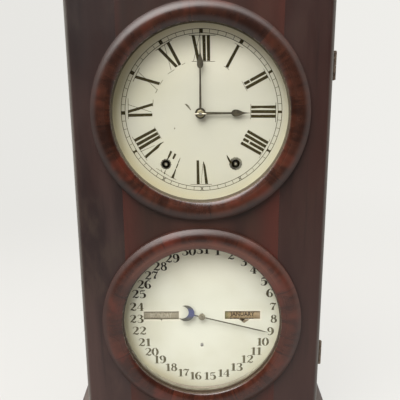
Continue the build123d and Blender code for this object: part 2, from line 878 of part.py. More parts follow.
time_place = winding_places["time"]
strike_place = winding_places["strike"]
second_place = from_point(time_place, towards(time_place, centre_place), second_distance)
third_place = (third_out, upper_dial_z + third_up)
escape_place = (0.0, upper_dial_z + escape_rise)
verge_place = (0.0, upper_dial_z + verge_rise)
minute_wheel_place = (0.0, upper_dial_z - motion_distance)
hammer_place = (hammer_x, upper_dial_z - hammer_drop)
pillar_places = [
    (side * (plate_half_width - pillar_inset), z)
    for side in (-1, 1)
    for z in (upper_dial_z + plate_rise - pillar_inset, upper_dial_z - plate_drop + pillar_inset)
]
small_pivots = (second_place, third_place, escape_place, verge_place)


# ------------------------------------------------------------------ movement plates and pillars
def movement_plate(front_y, rear_y, centre_bore):
    with BuildSketch(facing(rear_y)) as outline:
        with Locations((0, upper_dial_z + (plate_rise - plate_drop) / 2)):
            RectangleRounded(2 * plate_half_width, plate_rise + plate_drop, pillar_inset)
        with Locations(*pillar_places):
            Circle(pillar_neck_radius + running_fit, mode=Mode.SUBTRACT)
        with Locations(*small_pivots):
            Circle(pivot_radius + running_fit, mode=Mode.SUBTRACT)
        with Locations(*winding_places.values()):
            Circle(winding_arbor_radius + running_fit, mode=Mode.SUBTRACT)
        with Locations(centre_place):
            Circle(centre_bore, mode=Mode.SUBTRACT)
    extrude(outline.sketch, amount=rear_y - front_y)


with BuildPart() as movement_front_plate:
    movement_plate(plate_front_y, train_front_y, arbor_radius + running_fit)
    stud_tip_y = hour_wheel_y - lantern_half - lantern_disc - 0.6
    disc(minute_wheel_place, small_arbor_radius, stud_tip_y, plate_front_y)
movement_front_plate.part.label = "movement_front_plate"
export_step(movement_front_plate.part, "parts/movement_front_plate.step")

pendulum_y = plate_back_y + pendulum_gap / 2
post_z = verge_place[1] + knuckle_gap

with BuildPart() as movement_back_plate:
    movement_plate(train_back_y, plate_back_y, arbor_radius + running_fit)
    disc(hammer_place, pivot_radius + running_fit, train_back_y, plate_back_y, Mode.SUBTRACT)
    arm_z = post_z + suspension_jaw
    arm_y = (plate_back_y, pendulum_y + suspension_jaw / 2)
    block((-suspension_arm, suspension_arm), arm_y, (arm_z, arm_z + suspension_arm))
    jaw = (-suspension_jaw / 2, suspension_jaw / 2)
    block(jaw, (pendulum_y + jaw[0], pendulum_y + jaw[1]), (post_z, arm_z))
movement_back_plate.part.label = "movement_back_plate"
export_step(movement_back_plate.part, "parts/movement_back_plate.step")

with BuildPart() as movement_pillars:
    for place in pillar_places:
        disc(place, pillar_radius, train_front_y, train_back_y)
        disc(place, pillar_neck_radius, train_back_y, plate_back_y)
        disc(place, pillar_foot_radius, plate_back_y, board_front_y)
        disc(place, pillar_neck_radius, plate_front_y - pillar_end, train_front_y)
movement_pillars.part.label = "movement_pillars"
export_step(movement_pillars.part, "parts/movement_pillars.step")


# ------------------------------------------------------------------ mainsprings and winding arbors
spring_inner_radius = winding_arbor_radius + knuckle_gap + spring_strip / 2
spring_front_y = train_plane(1) + great_wheel_thickness + 3.2
spring_step = (spring_outer_radius - spring_inner_radius) / spring_half_turns


def spiral_strip(centre, mirror_side):
    """Flat spiral of half turns, each a little larger than the one inside it."""
    with BuildLine() as spiral:
        ends = []
        for edge in (-1, 1):
            x = 0.0
            for turn in range(spring_half_turns):
                radius = spring_inner_radius + turn * spring_step
                swing = 1 if turn % 2 == 0 else -1
                middle_x = x - swing * radius if turn else 0.0
                x = middle_x - swing * radius
                reach = radius + edge * spring_strip / 2
                start = 0 if swing > 0 else 180
                CenterArc(
                    (centre[0] + mirror_side * middle_x, centre[1]),
                    reach,
                    start if mirror_side > 0 else 180 - start,
                    180 * mirror_side,
                )
                if turn == 0:
                    ends.append((mirror_side * (middle_x + swing * reach), 0))
            ends.append((mirror_side * (middle_x - swing * reach), 0))
        places = [(centre[0] + x, centre[1] + z) for x, z in ends]
        Line(places[0], places[2])
        Line(places[1], places[3])
    make_face(spiral.edges())


with BuildPart() as mainsprings:
    for mirror_side, place in ((1, time_place), (-1, strike_place)):
        with BuildSketch(facing(spring_front_y + spring_width)) as strip:
            spiral_strip(place, mirror_side)
        extrude(strip.sketch, amount=spring_width)
mainsprings.part.label = "mainsprings"
export_step(mainsprings.part, "parts/mainsprings.step")

ratchet_front_y = train_plane(1) + great_wheel_thickness / 2 + 0.8


def winding_arbor(place):
    """Arbor with its squared winding end, the ratchet wheel and the spring hook."""
    disc(place, winding_arbor_radius, plate_front_y - 2, plate_back_y)
    disc(place, winding_arbor_radius - 0.4, dial_back_y + 3, plate_front_y - 2)
    with BuildSketch(facing(dial_back_y + 3)) as square:
        with Locations(place):
            Rectangle(winding_square, winding_square)
    extrude(square.sketch, amount=dial_back_y + 3 - dial_front_y + 0.6)
    corners = []
    for tooth in range(ratchet_teeth):
        angle = tooth * tau / ratchet_teeth
        for radius, turn in ((ratchet_radius, 0.0), (ratchet_radius - 1.6, 0.9)):
            spoke = angle + turn * tau / ratchet_teeth
            corners.append((radius * cos(spoke), radius * sin(spoke)))
    with BuildSketch(facing(ratchet_front_y + wheel_thickness)) as ratchet:
        with Locations(place):
            Polygon(*corners, align=None)
    extrude(ratchet.sketch, amount=wheel_thickness)


for train_name, place in winding_places.items():
    with BuildPart() as arbor:
        winding_arbor(place)
    arbor.part.label = train_name + "_winding_arbor"
    export_step(arbor.part, "parts/" + train_name + "_winding_arbor.step")

    with BuildPart() as great_wheel:
        toothed_wheel(
            place,
            great_teeth,
            great_module,
            great_wheel_thickness,
            winding_arbor_radius + running_fit,
            train_plane(1),
            towards(place, second_place),
        )
        click_x = place[0] + (ratchet_radius + 4.4) * (1 if train_name == "time" else -1)
        click_y = train_plane(1) + great_wheel_thickness / 2
        with BuildSketch(facing(click_y + 2.0)) as click:
            with Locations((click_x, place[1])):
                SlotOverall(14, 4, rotation=90)
        extrude(click.sketch, amount=2.0)
    great_wheel.part.label = train_name + "_great_wheel"
    export_step(great_wheel.part, "parts/" + train_name + "_great_wheel.step")


# ------------------------------------------------------------------ going train
def plain_arbor(place, radius):
    disc(place, radius, train_front_y + knuckle_gap, train_back_y - knuckle_gap)
    disc(place, pivot_radius, plate_front_y, plate_back_y)


with BuildPart() as second_wheel:
    plain_arbor(second_place, arbor_radius)
    toothed_wheel(
        second_place,
        second_teeth,
        second_module,
        wheel_thickness,
        arbor_radius - wheel_lap,
        train_plane(0),
        towards(second_place, centre_place),
        arms=3,
    )
    lantern_pinion(
        second_place,
        second_rods,
        great_module,
        arbor_radius - wheel_lap,
        train_plane(1),
        towards(second_place, time_place),
    )
second_wheel.part.label = "second_wheel"
export_step(second_wheel.part, "parts/second_wheel.step")

centre_pipe_radius = arbor_radius + running_fit + centre_pipe_wall
with BuildPart() as centre_wheel:
    collar(
        centre_place,
        arbor_radius + running_fit,
        centre_pipe_radius,
        train_front_y + knuckle_gap,
        train_plane(4) + 2,
    )
    toothed_wheel(
        centre_place,
        centre_teeth,
        centre_module,
        wheel_thickness,
        centre_pipe_radius - wheel_lap,
        train_plane(4),
        towards(centre_place, third_place),
        arms=3,
    )
    lantern_pinion(
        centre_place,
        centre_rods,
        second_module,
        centre_pipe_radius - wheel_lap,
        train_plane(0),
        towards(centre_place, second_place),
    )
centre_wheel.part.label = "centre_wheel"
export_step(centre_wheel.part, "parts/centre_wheel.step")

with BuildPart() as third_wheel:
    plain_arbor(third_place, small_arbor_radius)
    toothed_wheel(
        third_place,
        third_teeth,
        third_module,
        wheel_thickness,
        small_arbor_radius - wheel_lap,
        train_plane(3),
        towards(third_place, escape_place),
        arms=3,
    )
    lantern_pinion(
        third_place,
        third_rods,
        centre_module,
        small_arbor_radius - wheel_lap,
        train_plane(4),
        towards(third_place, centre_place),
    )
third_wheel.part.label = "third_wheel"
export_step(third_wheel.part, "parts/third_wheel.step")

with BuildPart() as escape_wheel:
    plain_arbor(escape_place, small_arbor_radius)
    lantern_pinion(
        escape_place,
        escape_rods,
        third_module,
        small_arbor_radius - wheel_lap,
        train_plane(3),
        towards(escape_place, third_place),
    )
    corners = []
    for tooth in range(escape_teeth):
        for radius, turn in ((escape_radius, 0.0), (escape_radius - escape_tooth, 0.55)):
            spoke = (tooth + turn) * tau / escape_teeth
            corners.append((radius * cos(spoke), radius * sin(spoke)))
    with BuildSketch(facing(train_plane(5) + wheel_thickness / 2)) as rim:
        with Locations(escape_place):
            Polygon(*corners, align=None)
            Circle(escape_radius - escape_tooth - escape_rim, mode=Mode.SUBTRACT)
            arm_length = 2 * (escape_radius - escape_tooth - escape_rim / 2)
            Rectangle(arm_length, escape_arm)
            Rectangle(escape_arm, arm_length)
            Circle(escape_hub)
    extrude(rim.sketch, amount=wheel_thickness)
escape_wheel.part.label = "escape_wheel"
export_step(escape_wheel.part, "parts/escape_wheel.step")

pallet_radius = escape_radius + verge_gap
crutch_y = plate_back_y + crutch_gap
crutch_depth = (crutch_y - crutch_width / 2, crutch_y + crutch_width / 2)
with BuildPart() as verge:
    disc(verge_place, small_arbor_radius, train_front_y + knuckle_gap, train_back_y - knuckle_gap)
    disc(verge_place, pivot_radius, plate_front_y, crutch_y + crutch_width / 2)
    with BuildSketch(facing(train_plane(5) + wheel_thickness)) as pallets:
        with BuildLine():
            first_angle = 90 - pallet_sweep / 2
            outer_radius = pallet_radius + pallet_thickness
            outer_arc = CenterArc(escape_place, outer_radius, first_angle, pallet_sweep)
            inner_arc = CenterArc(escape_place, pallet_radius, first_angle, pallet_sweep)
            Line(outer_arc @ 0, inner_arc @ 0)
            Line(outer_arc @ 1, inner_arc @ 1)
        make_face()
        stem_foot = escape_place[1] + pallet_radius + pallet_thickness / 2
        with Locations((0, stem_foot)):
            Rectangle(2 * wheel_thickness, verge_place[1] - stem_foot,
                      align=(Align.CENTER, Align.MIN))
    extrude(pallets.sketch, amount=2 * wheel_thickness)
    crutch_foot_z = verge_place[1] - crutch_drop
    fork_z = (crutch_foot_z - crutch_width, crutch_foot_z)
    block((-crutch_width / 2, crutch_width / 2), crutch_depth, (crutch_foot_z, verge_place[1]))
    fork_gap = pendulum_rod_radius + knuckle_gap
    block((-fork_gap - fork_wall, fork_gap + fork_wall), crutch_depth, fork_z)
    for side in (-1, 1):
        tine = sorted((side * fork_gap, side * (fork_gap + fork_wall)))
        block(tine, (crutch_depth[0], pendulum_y + fork_reach), fork_z)
verge.part.label = "verge"
export_step(verge.part, "parts/verge.step")


# ------------------------------------------------------------------ pendulum
bob_z = verge_place[1] - pendulum_length
bob_face_radius = ((bob_radius + 1) ** 2 + (bob_thickness / 2) ** 2) / bob_thickness
with BuildPart() as pendulum_rod:
    spring_x = (-suspension_width / 2, suspension_width / 2)
    spring_y = (pendulum_y - suspension_strip / 2, pendulum_y + suspension_strip / 2)
    block(spring_x, spring_y, (verge_place[1] - suspension_length, verge_place[1]))
    bob_foot_z = bob_z - bob_radius - knuckle_gap
    rod_top_z = verge_place[1] - suspension_length + 1
    upright_rod(0, pendulum_y, (bob_foot_z - rod_tail, rod_top_z), pendulum_rod_radius)
    upright_rod(0, pendulum_y, (bob_foot_z - rating_nut_height, bob_foot_z), rating_nut_radius)
pendulum_rod.part.label = "pendulum_rod"
export_step(pendulum_rod.part, "parts/pendulum_rod.step")

with BuildPart() as pendulum_bob:
    for side in (-1, 1):
        with Locations((0, pendulum_y + side * (bob_face_radius - bob_thickness / 2), bob_z)):
            Sphere(bob_face_radius, mode=Mode.ADD if side < 0 else Mode.INTERSECT)
    disc((0, bob_z), bob_radius, pendulum_y - bob_thickness, pendulum_y + bob_thickness,
         Mode.INTERSECT)
    bob_reach = (bob_z - bob_radius - 1, bob_z + bob_radius + 1)
    upright_rod(0, pendulum_y, bob_reach, pendulum_rod_radius + running_fit, Mode.SUBTRACT)
pendulum_bob.part.label = "pendulum_bob"
export_step(pendulum_bob.part, "parts/pendulum_bob.step")


# ------------------------------------------------------------------ motion work and hands
pipe_radius = arbor_radius + running_fit
pipe_outer = pipe_radius + pipe_wall
with BuildPart() as centre_arbor:
    disc(centre_place, arbor_radius, arbor_tip_y, plate_back_y)
    lantern_pinion(
        centre_place,
        cannon_rods,
        minute_module,
        arbor_radius - wheel_lap,
        minute_wheel_y,
        towards(centre_place, minute_wheel_place),
    )
    with BuildSketch(Plane.YZ.offset(-arbor_radius)) as cross_hole:
        with Locations((minute_hand_back_y - hand_thickness - washer_height - taper_pin_radius,
                        upper_dial_z)):
            Circle(taper_pin_radius)
    extrude(cross_hole.sketch, amount=2 * arbor_radius, mode=Mode.SUBTRACT)
centre_arbor.part.label = "centre_arbor"
export_step(centre_arbor.part, "parts/centre_arbor.step")

with BuildPart() as minute_wheel:
    collar(
        minute_wheel_place,
        small_arbor_radius + running_fit,
        small_arbor_radius + stud_pipe_wall,
        hour_wheel_y - lantern_half - lantern_disc,
        minute_wheel_y + wheel_thickness,
    )
    toothed_wheel(
        minute_wheel_place,
        minute_teeth,
        minute_module,
        wheel_thickness,
        small_arbor_radius + stud_pipe_wall - wheel_lap,
        minute_wheel_y,
        towards(minute_wheel_place, centre_place),
    )
    lantern_pinion(
        minute_wheel_place,
        motion_rods,
        hour_module,
        small_arbor_radius + stud_pipe_wall - wheel_lap,
        hour_wheel_y,
        towards(minute_wheel_place, centre_place),
    )
minute_wheel.part.label = "minute_wheel"
export_step(minute_wheel.part, "parts/minute_wheel.step")

with BuildPart() as hour_wheel:
    collar(
        centre_place,
        pipe_radius,
        pipe_outer,
        hour_hand_back_y - hand_thickness - 0.4,
        hour_wheel_y + wheel_thickness / 2,
    )
    toothed_wheel(
        centre_place,
        hour_teeth,
        hour_module,
        wheel_thickness,
        pipe_outer - wheel_lap,
        hour_wheel_y,
        towards(centre_place, minute_wheel_place),
    )
hour_wheel.part.label = "hour_wheel"
export_step(hour_wheel.part, "parts/hour_wheel.step")


def hand_outline(length, root_width, neck_width, neck, bulge, bulge_width, tip_start, tip_width):
    """Half of a leaf hand that points up from the origin, then the other half by mirror."""
    with BuildLine() as outline:
        Line((0, 0), (root_width / 2, 0))
        Line((root_width / 2, 0), (neck_width / 2, neck))
        Spline(
            (neck_width / 2, neck),
            (bulge_width / 2, bulge),
            tangents=((1, 0.5), (0, 1)),
        )
        Spline(
            (bulge_width / 2, bulge),
            (tip_width / 2, tip_start),
            tangents=((0, 1), (-0.12, 1)),
        )
        Line((tip_width / 2, tip_start), (0.15, length))
        Line((0.15, length), (0, length))
        mirror(about=Plane.YZ)
    make_face(outline.edges())


with BuildPart() as hour_hand:
    hour_plane = Plane(
        origin=(0, hour_hand_back_y, upper_dial_z), x_dir=(0, 0, -1), z_dir=(0, -1, 0)
    )
    with BuildSketch(hour_plane):
        hand_outline(hour_hand_length, 3.2, 2.0, 0.62 * hour_hand_length, 0.70 * hour_hand_length,
                     7.8, 0.9 * hour_hand_length, 1.4)
        Circle(boss_radius)
        Circle(pipe_outer, mode=Mode.SUBTRACT)
    extrude(amount=hand_thickness)
hour_hand.part.label = "hour_hand"
export_step(hour_hand.part, "parts/hour_hand.step")

with BuildPart() as minute_hand:
    minute_plane = Plane(
        origin=(0, minute_hand_back_y, upper_dial_z), x_dir=(1, 0, 0), z_dir=(0, -1, 0)
    )
    with BuildSketch(minute_plane):
        hand_outline(minute_hand_length, 2.6, 1.7, 0.55 * minute_hand_length,
                     0.6 * minute_hand_length, 6.8, 0.74 * minute_hand_length, 1.3)
        Circle(0.75 * boss_radius)
        Circle(arbor_radius, mode=Mode.SUBTRACT)
    extrude(amount=hand_thickness)
minute_hand.part.label = "minute_hand"
export_step(minute_hand.part, "parts/minute_hand.step")

washer_back_y = minute_hand_back_y - hand_thickness
with BuildPart() as hand_washer_and_pin:
    with BuildSketch(Plane.YZ) as dome:
        with BuildLine():
            Line((washer_back_y, upper_dial_z + arbor_radius),
                 (washer_back_y, upper_dial_z + washer_radius))
            Spline(
                (washer_back_y, upper_dial_z + washer_radius),
                (washer_back_y - washer_height, upper_dial_z + arbor_radius + 1.0),
                tangents=((-1, 0), (0, -1)),
            )
            Line((washer_back_y - washer_height, upper_dial_z + arbor_radius + 1.0),
                 (washer_back_y - washer_height, upper_dial_z + arbor_radius))
            Line((washer_back_y - washer_height, upper_dial_z + arbor_radius),
                 (washer_back_y, upper_dial_z + arbor_radius))
        make_face()
    revolve(dome.sketch, axis=Axis((0, 0, upper_dial_z), (0, 1, 0)))
    pin_y = washer_back_y - washer_height - taper_pin_radius
    cross_rod((-taper_pin_length / 2, taper_pin_length / 2), pin_y, upper_dial_z,
              taper_pin_radius)
hand_washer_and_pin.part.label = "hand_washer_and_pin"
export_step(hand_washer_and_pin.part, "parts/hand_washer_and_pin.step")


# ------------------------------------------------------------------ strike: gong and hammer
gong_centre = (gong_x, upper_dial_z - gong_drop)
gong_y = board_front_y - gong_board_gap - gong_wire_radius

with BuildPart() as coil_gong:
    x = gong_centre[0]
    middle_x = gong_centre[0]
    for turn in range(gong_half_turns):
        radius = gong_inner_radius + turn * gong_pitch / 2
        swing = 1 if turn % 2 == 0 else -1
        middle_x = x - swing * radius if turn else x
        with BuildSketch(Plane.YZ.offset(middle_x)) as section:
            with Locations((gong_y, gong_centre[1] + radius)):
                Circle(gong_wire_radius)
        with BuildPart(mode=Mode.PRIVATE) as bend:
            revolve(section.sketch, axis=Axis((middle_x, 0, gong_centre[1]), (0, 1, 0)),
                    revolution_arc=360)
            cut_z = (gong_centre[1] - 2 * radius, gong_centre[1])
            if swing < 0:
                cut_z = (gong_centre[1], gong_centre[1] + 2 * radius)
            block((middle_x - 2 * radius, middle_x + 2 * radius),
                  (gong_y - gong_pitch, gong_y + gong_pitch), cut_z, Mode.SUBTRACT)
        add(bend.part)
        x = middle_x - swing * radius
    block_x = gong_centre[0] + gong_inner_radius
    block((gong_centre[0] - gong_wire_radius, block_x + gong_wire_radius),
          (gong_y - gong_wire_radius - 0.5, board_front_y),
          (gong_centre[1] - gong_block_size / 2, gong_centre[1] + gong_block_size / 2))
coil_gong.part.label = "coil_gong"
export_step(coil_gong.part, "parts/coil_gong.step")

gong_left_x = x
hammer_head_out = gong_wire_radius + hammer_head_radius + hammer_gap
hammer_head = (gong_left_x - hammer_head_out, gong_centre[1] + hammer_head_rise)
hammer_rod_y = gong_y - gong_wire_radius - 2 * hammer_rod_radius
with BuildPart() as strike_hammer:
    shoulder_y = plate_back_y + knuckle_gap
    disc(hammer_place, pivot_radius, train_back_y, shoulder_y)
    disc(hammer_place, arbor_radius, shoulder_y, hammer_rod_y + hammer_rod_radius)
    head_back_y = gong_y + gong_wire_radius + knuckle_gap
    disc(hammer_head, hammer_head_radius, head_back_y - hammer_head_length, head_back_y)
    rod_plane = Plane(
        origin=(hammer_place[0], hammer_rod_y, hammer_place[1]),
        x_dir=(0, 1, 0),
        z_dir=(hammer_head[0] - hammer_place[0], 0, hammer_head[1] - hammer_place[1]),
    )
    with BuildSketch(rod_plane):
        Circle(hammer_rod_radius)
    extrude(amount=hypot(hammer_head[0] - hammer_place[0], hammer_head[1] - hammer_place[1]))
strike_hammer.part.label = "strike_hammer"
export_step(strike_hammer.part, "parts/strike_hammer.step")


# ------------------------------------------------------------------ calendar mechanism
frame_front_y = dial_back_y
roller_y = frame_front_y + roller_gap + roller_radius
roller_back_y = roller_y + roller_radius
date_wheel_y = roller_back_y + date_wheel_gap + wheel_thickness / 2
lever_y = date_wheel_y + wheel_thickness / 2 + lever_gap + lever_thickness / 2
frame_back_y = lever_y + lever_thickness / 2 + 1.2
inner_cheek_x = window_inner - roller_side_gap - cheek_thickness - roller_overlap
outer_cheek_x = window_outer + roller_side_gap + roller_overlap
frame_half_width = outer_cheek_x + cheek_thickness + frame_side_margin
roller_start = inner_cheek_x + cheek_thickness + roller_side_gap
roller_end = outer_cheek_x - roller_side_gap
lever_pivot = (lever_pivot_in - outer_cheek_x, lower_dial_z + lever_pivot_rise)

with BuildPart() as calendar_frame:
    with BuildSketch(facing(frame_front_y + frame_thickness)) as front_face:
        with Locations((0, lower_dial_z)):
            Rectangle(2 * frame_half_width, 2 * frame_half_height)
            Circle(date_arbor_radius + running_fit, mode=Mode.SUBTRACT)
        with Locations((-window_middle, lower_dial_z), (window_middle, lower_dial_z)):
            Rectangle(roller_end - roller_start + 2, 2 * roller_radius, mode=Mode.SUBTRACT)
        with Locations((0, lower_dial_z - setting_hole_drop)):
            Ellipse(
                setting_hole[0] + knuckle_gap, setting_hole[1] + knuckle_gap, mode=Mode.SUBTRACT
            )
    extrude(front_face.sketch, amount=frame_thickness)
    for side in (-1, 1):
        for cheek, reach_y in (
            (inner_cheek_x, roller_back_y + 0.6),
            (outer_cheek_x, frame_back_y),
        ):
            cheek_x = sorted((side * cheek, side * (cheek + cheek_thickness)))
            cheek_z = (lower_dial_z - cheek_half_height, lower_dial_z + cheek_half_height)
            block(cheek_x, (frame_front_y, reach_y), cheek_z)
            cross_rod(cheek_x, roller_y, lower_dial_z, roller_axle_radius + running_fit,
                      Mode.SUBTRACT)
    with BuildSketch(facing(frame_back_y + frame_thickness)) as back_face:
        with Locations((0, lower_dial_z)):
            Rectangle(2 * (outer_cheek_x + cheek_thickness), 2 * cheek_half_height)
            Circle(date_arbor_radius - date_arbor_step + running_fit, mode=Mode.SUBTRACT)
        with Locations((lever_pivot[0], lower_dial_z + (lever_pivot_rise + lever_boss) / 2)):
            Rectangle(3 * lever_boss, lever_pivot_rise + lever_boss)
    extrude(back_face.sketch, amount=frame_thickness)
    disc(lever_pivot, roller_axle_radius, lever_y - lever_thickness / 2 - 0.8, frame_back_y)
calendar_frame.part.label = "calendar_frame"
export_step(calendar_frame.part, "parts/calendar_frame.step")

with BuildPart() as date_wheel:
    date_hand_back_y = dial_front_y - date_hand_lift
    arbor_front_y = date_hand_back_y - date_arbor_reach
    shoulder_y = frame_back_y - knuckle_gap
    disc((0, lower_dial_z), date_arbor_radius, arbor_front_y, shoulder_y)
    disc((0, lower_dial_z), date_arbor_radius - date_arbor_step, shoulder_y,
         frame_back_y + frame_thickness)
    corners = []
    for tooth in range(date_count):
        for radius, turn in ((date_wheel_radius, 0.0), (date_wheel_radius - date_tooth, 0.5)):
            spoke = (tooth + turn) * tau / date_count
            corners.append((radius * cos(spoke), radius * sin(spoke)))
    with BuildSketch(facing(date_wheel_y + wheel_thickness / 2)) as wheel:
        with Locations((0, lower_dial_z)):
            Polygon(*corners, align=None)
            Circle(date_wheel_radius - date_tooth - date_rim, mode=Mode.SUBTRACT)
            arm_length = 2 * (date_wheel_radius - date_tooth - date_rim / 2)
            Rectangle(arm_length, date_arm)
            Rectangle(date_arm, arm_length)
            Circle(date_arbor_radius + date_hub)
    extrude(wheel.sketch, amount=wheel_thickness)
date_wheel.part.label = "date_wheel"
export_step(date_wheel.part, "parts/date_wheel.step")

date_angle = 90 - date_shown * 360 / date_count
with BuildPart() as calendar_hand:
    direction = (cos(radians(date_angle)), 0, sin(radians(date_angle)))
    pointer_plane = Plane(
        origin=(0, date_hand_back_y, lower_dial_z), x_dir=direction, z_dir=(0, -1, 0)
    )
    with BuildSketch(pointer_plane):
        with Locations((-crescent_distance, 0)):
            Circle(crescent_radius)
        with Locations((-crescent_distance - crescent_bite_shift, 0)):
            Circle(crescent_bite_radius, mode=Mode.SUBTRACT)
        with BuildLine():
            half_width = date_hand_width / 2
            tail = crescent_distance - crescent_radius + 2
            Polyline(
                (-tail, -half_width),
                (0.9 * date_hand_length, -half_width),
                (date_hand_length, 0),
                (0.9 * date_hand_length, half_width),
                (-tail, half_width),
                close=True,
            )
        make_face()
        Circle(date_hub_radius)
        Circle(date_arbor_radius, mode=Mode.SUBTRACT)
    extrude(amount=hand_thickness)
calendar_hand.part.label = "calendar_hand"
export_step(calendar_hand.part, "parts/calendar_hand.step")

for roller_name, side in (("day_roller", -1), ("month_roller", 1)):
    with BuildPart() as roller:
        drum_x = sorted((side * roller_start, side * roller_end))
        axle_x = sorted((side * inner_cheek_x, side * (outer_cheek_x + cheek_thickness)))
        cross_rod(drum_x, roller_y, lower_dial_z, roller_radius)
        cross_rod(axle_x, roller_y, lower_dial_z, roller_axle_radius)
    roller.part.label = roller_name
    export_step(roller.part, "parts/" + roller_name + ".step")

with BuildPart() as calendar_lever:
    lever_aim = towards(lever_pivot, (-lever_aim_out, lower_dial_z + lever_aim_rise))
    lever_tip = from_point(lever_pivot, lever_aim, lever_length)
    half_tail = 0.9 * lever_half_width
    half_tip = 0.6 * lever_half_width
    with BuildSketch(facing(lever_y + lever_thickness / 2)):
        with BuildLine():
            Polyline(
                (lever_pivot[0] - lever_tail, lever_pivot[1] - half_tail),
                (lever_pivot[0], lever_pivot[1] - lever_half_width),
                (lever_tip[0], lever_tip[1] - half_tip),
                (lever_tip[0], lever_tip[1] + half_tip),
                (lever_pivot[0], lever_pivot[1] + lever_half_width),
                (lever_pivot[0] - lever_tail, lever_pivot[1] + half_tail),
                close=True,
            )
        make_face()
        with Locations(lever_pivot):
            Circle(roller_axle_radius + running_fit, mode=Mode.SUBTRACT)
    extrude(amount=lever_thickness)
    lever_rod_z = (lever_pivot[1], lever_pivot[1] + lever_rod_height)
    upright_rod(lever_pivot[0] - lever_rod_out, lever_y, lever_rod_z, lever_thickness / 2)
calendar_lever.part.label = "calendar_lever"
export_step(calendar_lever.part, "parts/calendar_lever.step")
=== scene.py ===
import math

import bmesh
import bpy
from mathutils import Matrix, Vector


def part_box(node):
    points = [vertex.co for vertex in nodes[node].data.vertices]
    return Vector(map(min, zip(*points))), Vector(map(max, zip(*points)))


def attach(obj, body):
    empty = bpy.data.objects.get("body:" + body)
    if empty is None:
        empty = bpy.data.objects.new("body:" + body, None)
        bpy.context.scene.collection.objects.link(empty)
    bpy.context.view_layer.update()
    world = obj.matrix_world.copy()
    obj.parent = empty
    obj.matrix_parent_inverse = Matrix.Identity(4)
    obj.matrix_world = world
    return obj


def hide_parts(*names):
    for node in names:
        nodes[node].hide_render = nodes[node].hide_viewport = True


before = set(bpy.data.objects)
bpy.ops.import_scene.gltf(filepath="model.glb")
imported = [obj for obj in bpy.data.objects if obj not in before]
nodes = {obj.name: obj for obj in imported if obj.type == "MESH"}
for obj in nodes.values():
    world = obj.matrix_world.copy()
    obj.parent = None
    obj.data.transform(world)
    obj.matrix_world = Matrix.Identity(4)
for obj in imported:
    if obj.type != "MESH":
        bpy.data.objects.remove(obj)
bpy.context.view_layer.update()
mm = 0.001
print("frame loaded:", len(nodes), "nodes")


def middleOf(node):
    low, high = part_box(node)
    return (low + high) / 2


timeCentre = middleOf("time_dial")
calendarCentre = middleOf("calendar_dial")
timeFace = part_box("time_dial")[0].y
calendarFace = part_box("calendar_dial")[0].y
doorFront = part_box("door_rail_middle")[0].y


def tint(red, green, blue):
    # screen colour from 0 to 255 as the linear colour of a socket
    channels = [value / 255 for value in (red, green, blue)]
    linear = [c / 12.92 if c <= 0.04045 else ((c + 0.055) / 1.055) ** 2.4 for c in channels]
    return (*linear, 1.0)


def mathNode(operation, turned=False):
    # an operator's method, with the two values exchanged when turned
    def run(self, other=0.0):
        values = (other, self) if turned else (self, other)
        return self.tree.maths(operation, *values)

    return run


class Wire:
    # a socket that adds Math nodes when it is used in an expression
    def __init__(self, tree, socket):
        self.tree = tree
        self.socket = socket

    __add__ = __radd__ = mathNode("ADD")
    __sub__ = mathNode("SUBTRACT")
    __rsub__ = mathNode("SUBTRACT", turned=True)
    __mul__ = __rmul__ = mathNode("MULTIPLY")
    __truediv__ = mathNode("DIVIDE")
    __pow__ = mathNode("POWER")
    __gt__ = mathNode("GREATER_THAN")
    __lt__ = mathNode("LESS_THAN")
    __abs__ = mathNode("ABSOLUTE")


class Tree:
    # a node tree whose nodes are made by name
    def __init__(self, nodeTree):
        self.nodeTree = nodeTree

    def fill(self, sockets, values):
        for key, value in values.items():
            if isinstance(value, Wire):
                self.nodeTree.links.new(value.socket, sockets[key])
            else:
                sockets[key].default_value = value

    def node(self, kind, settings=None, inputs=None):
        made = self.nodeTree.nodes.new("ShaderNode" + kind)
        for name, value in (settings or {}).items():
            setattr(made, name, value)
        self.fill(made.inputs, inputs or {})
        return [Wire(self, socket) for socket in made.outputs]

    def named(self, kind):
        return {wire.socket.name: wire for wire in self.node(kind)}

    def maths(self, operation, first, second=0.0):
        return self.node("Math", {"operation": operation}, {0: first, 1: second})[0]

    def ease(self, value, low, high):
        settings = {"interpolation_type": "SMOOTHSTEP"}
        return self.node("MapRange", settings, {0: value, 1: low, 2: high, 3: 0.0, 4: 1.0})[0]

    def mix(self, share, first, second):
        # 6 and 7 are the Mix node's colour inputs, and 2 is its colour output
        first, second = [tint(*one) if isinstance(one, tuple) else one for one in (first, second)]
        return self.node("Mix", {"data_type": "RGBA"}, {0: share, 6: first, 7: second})[2]


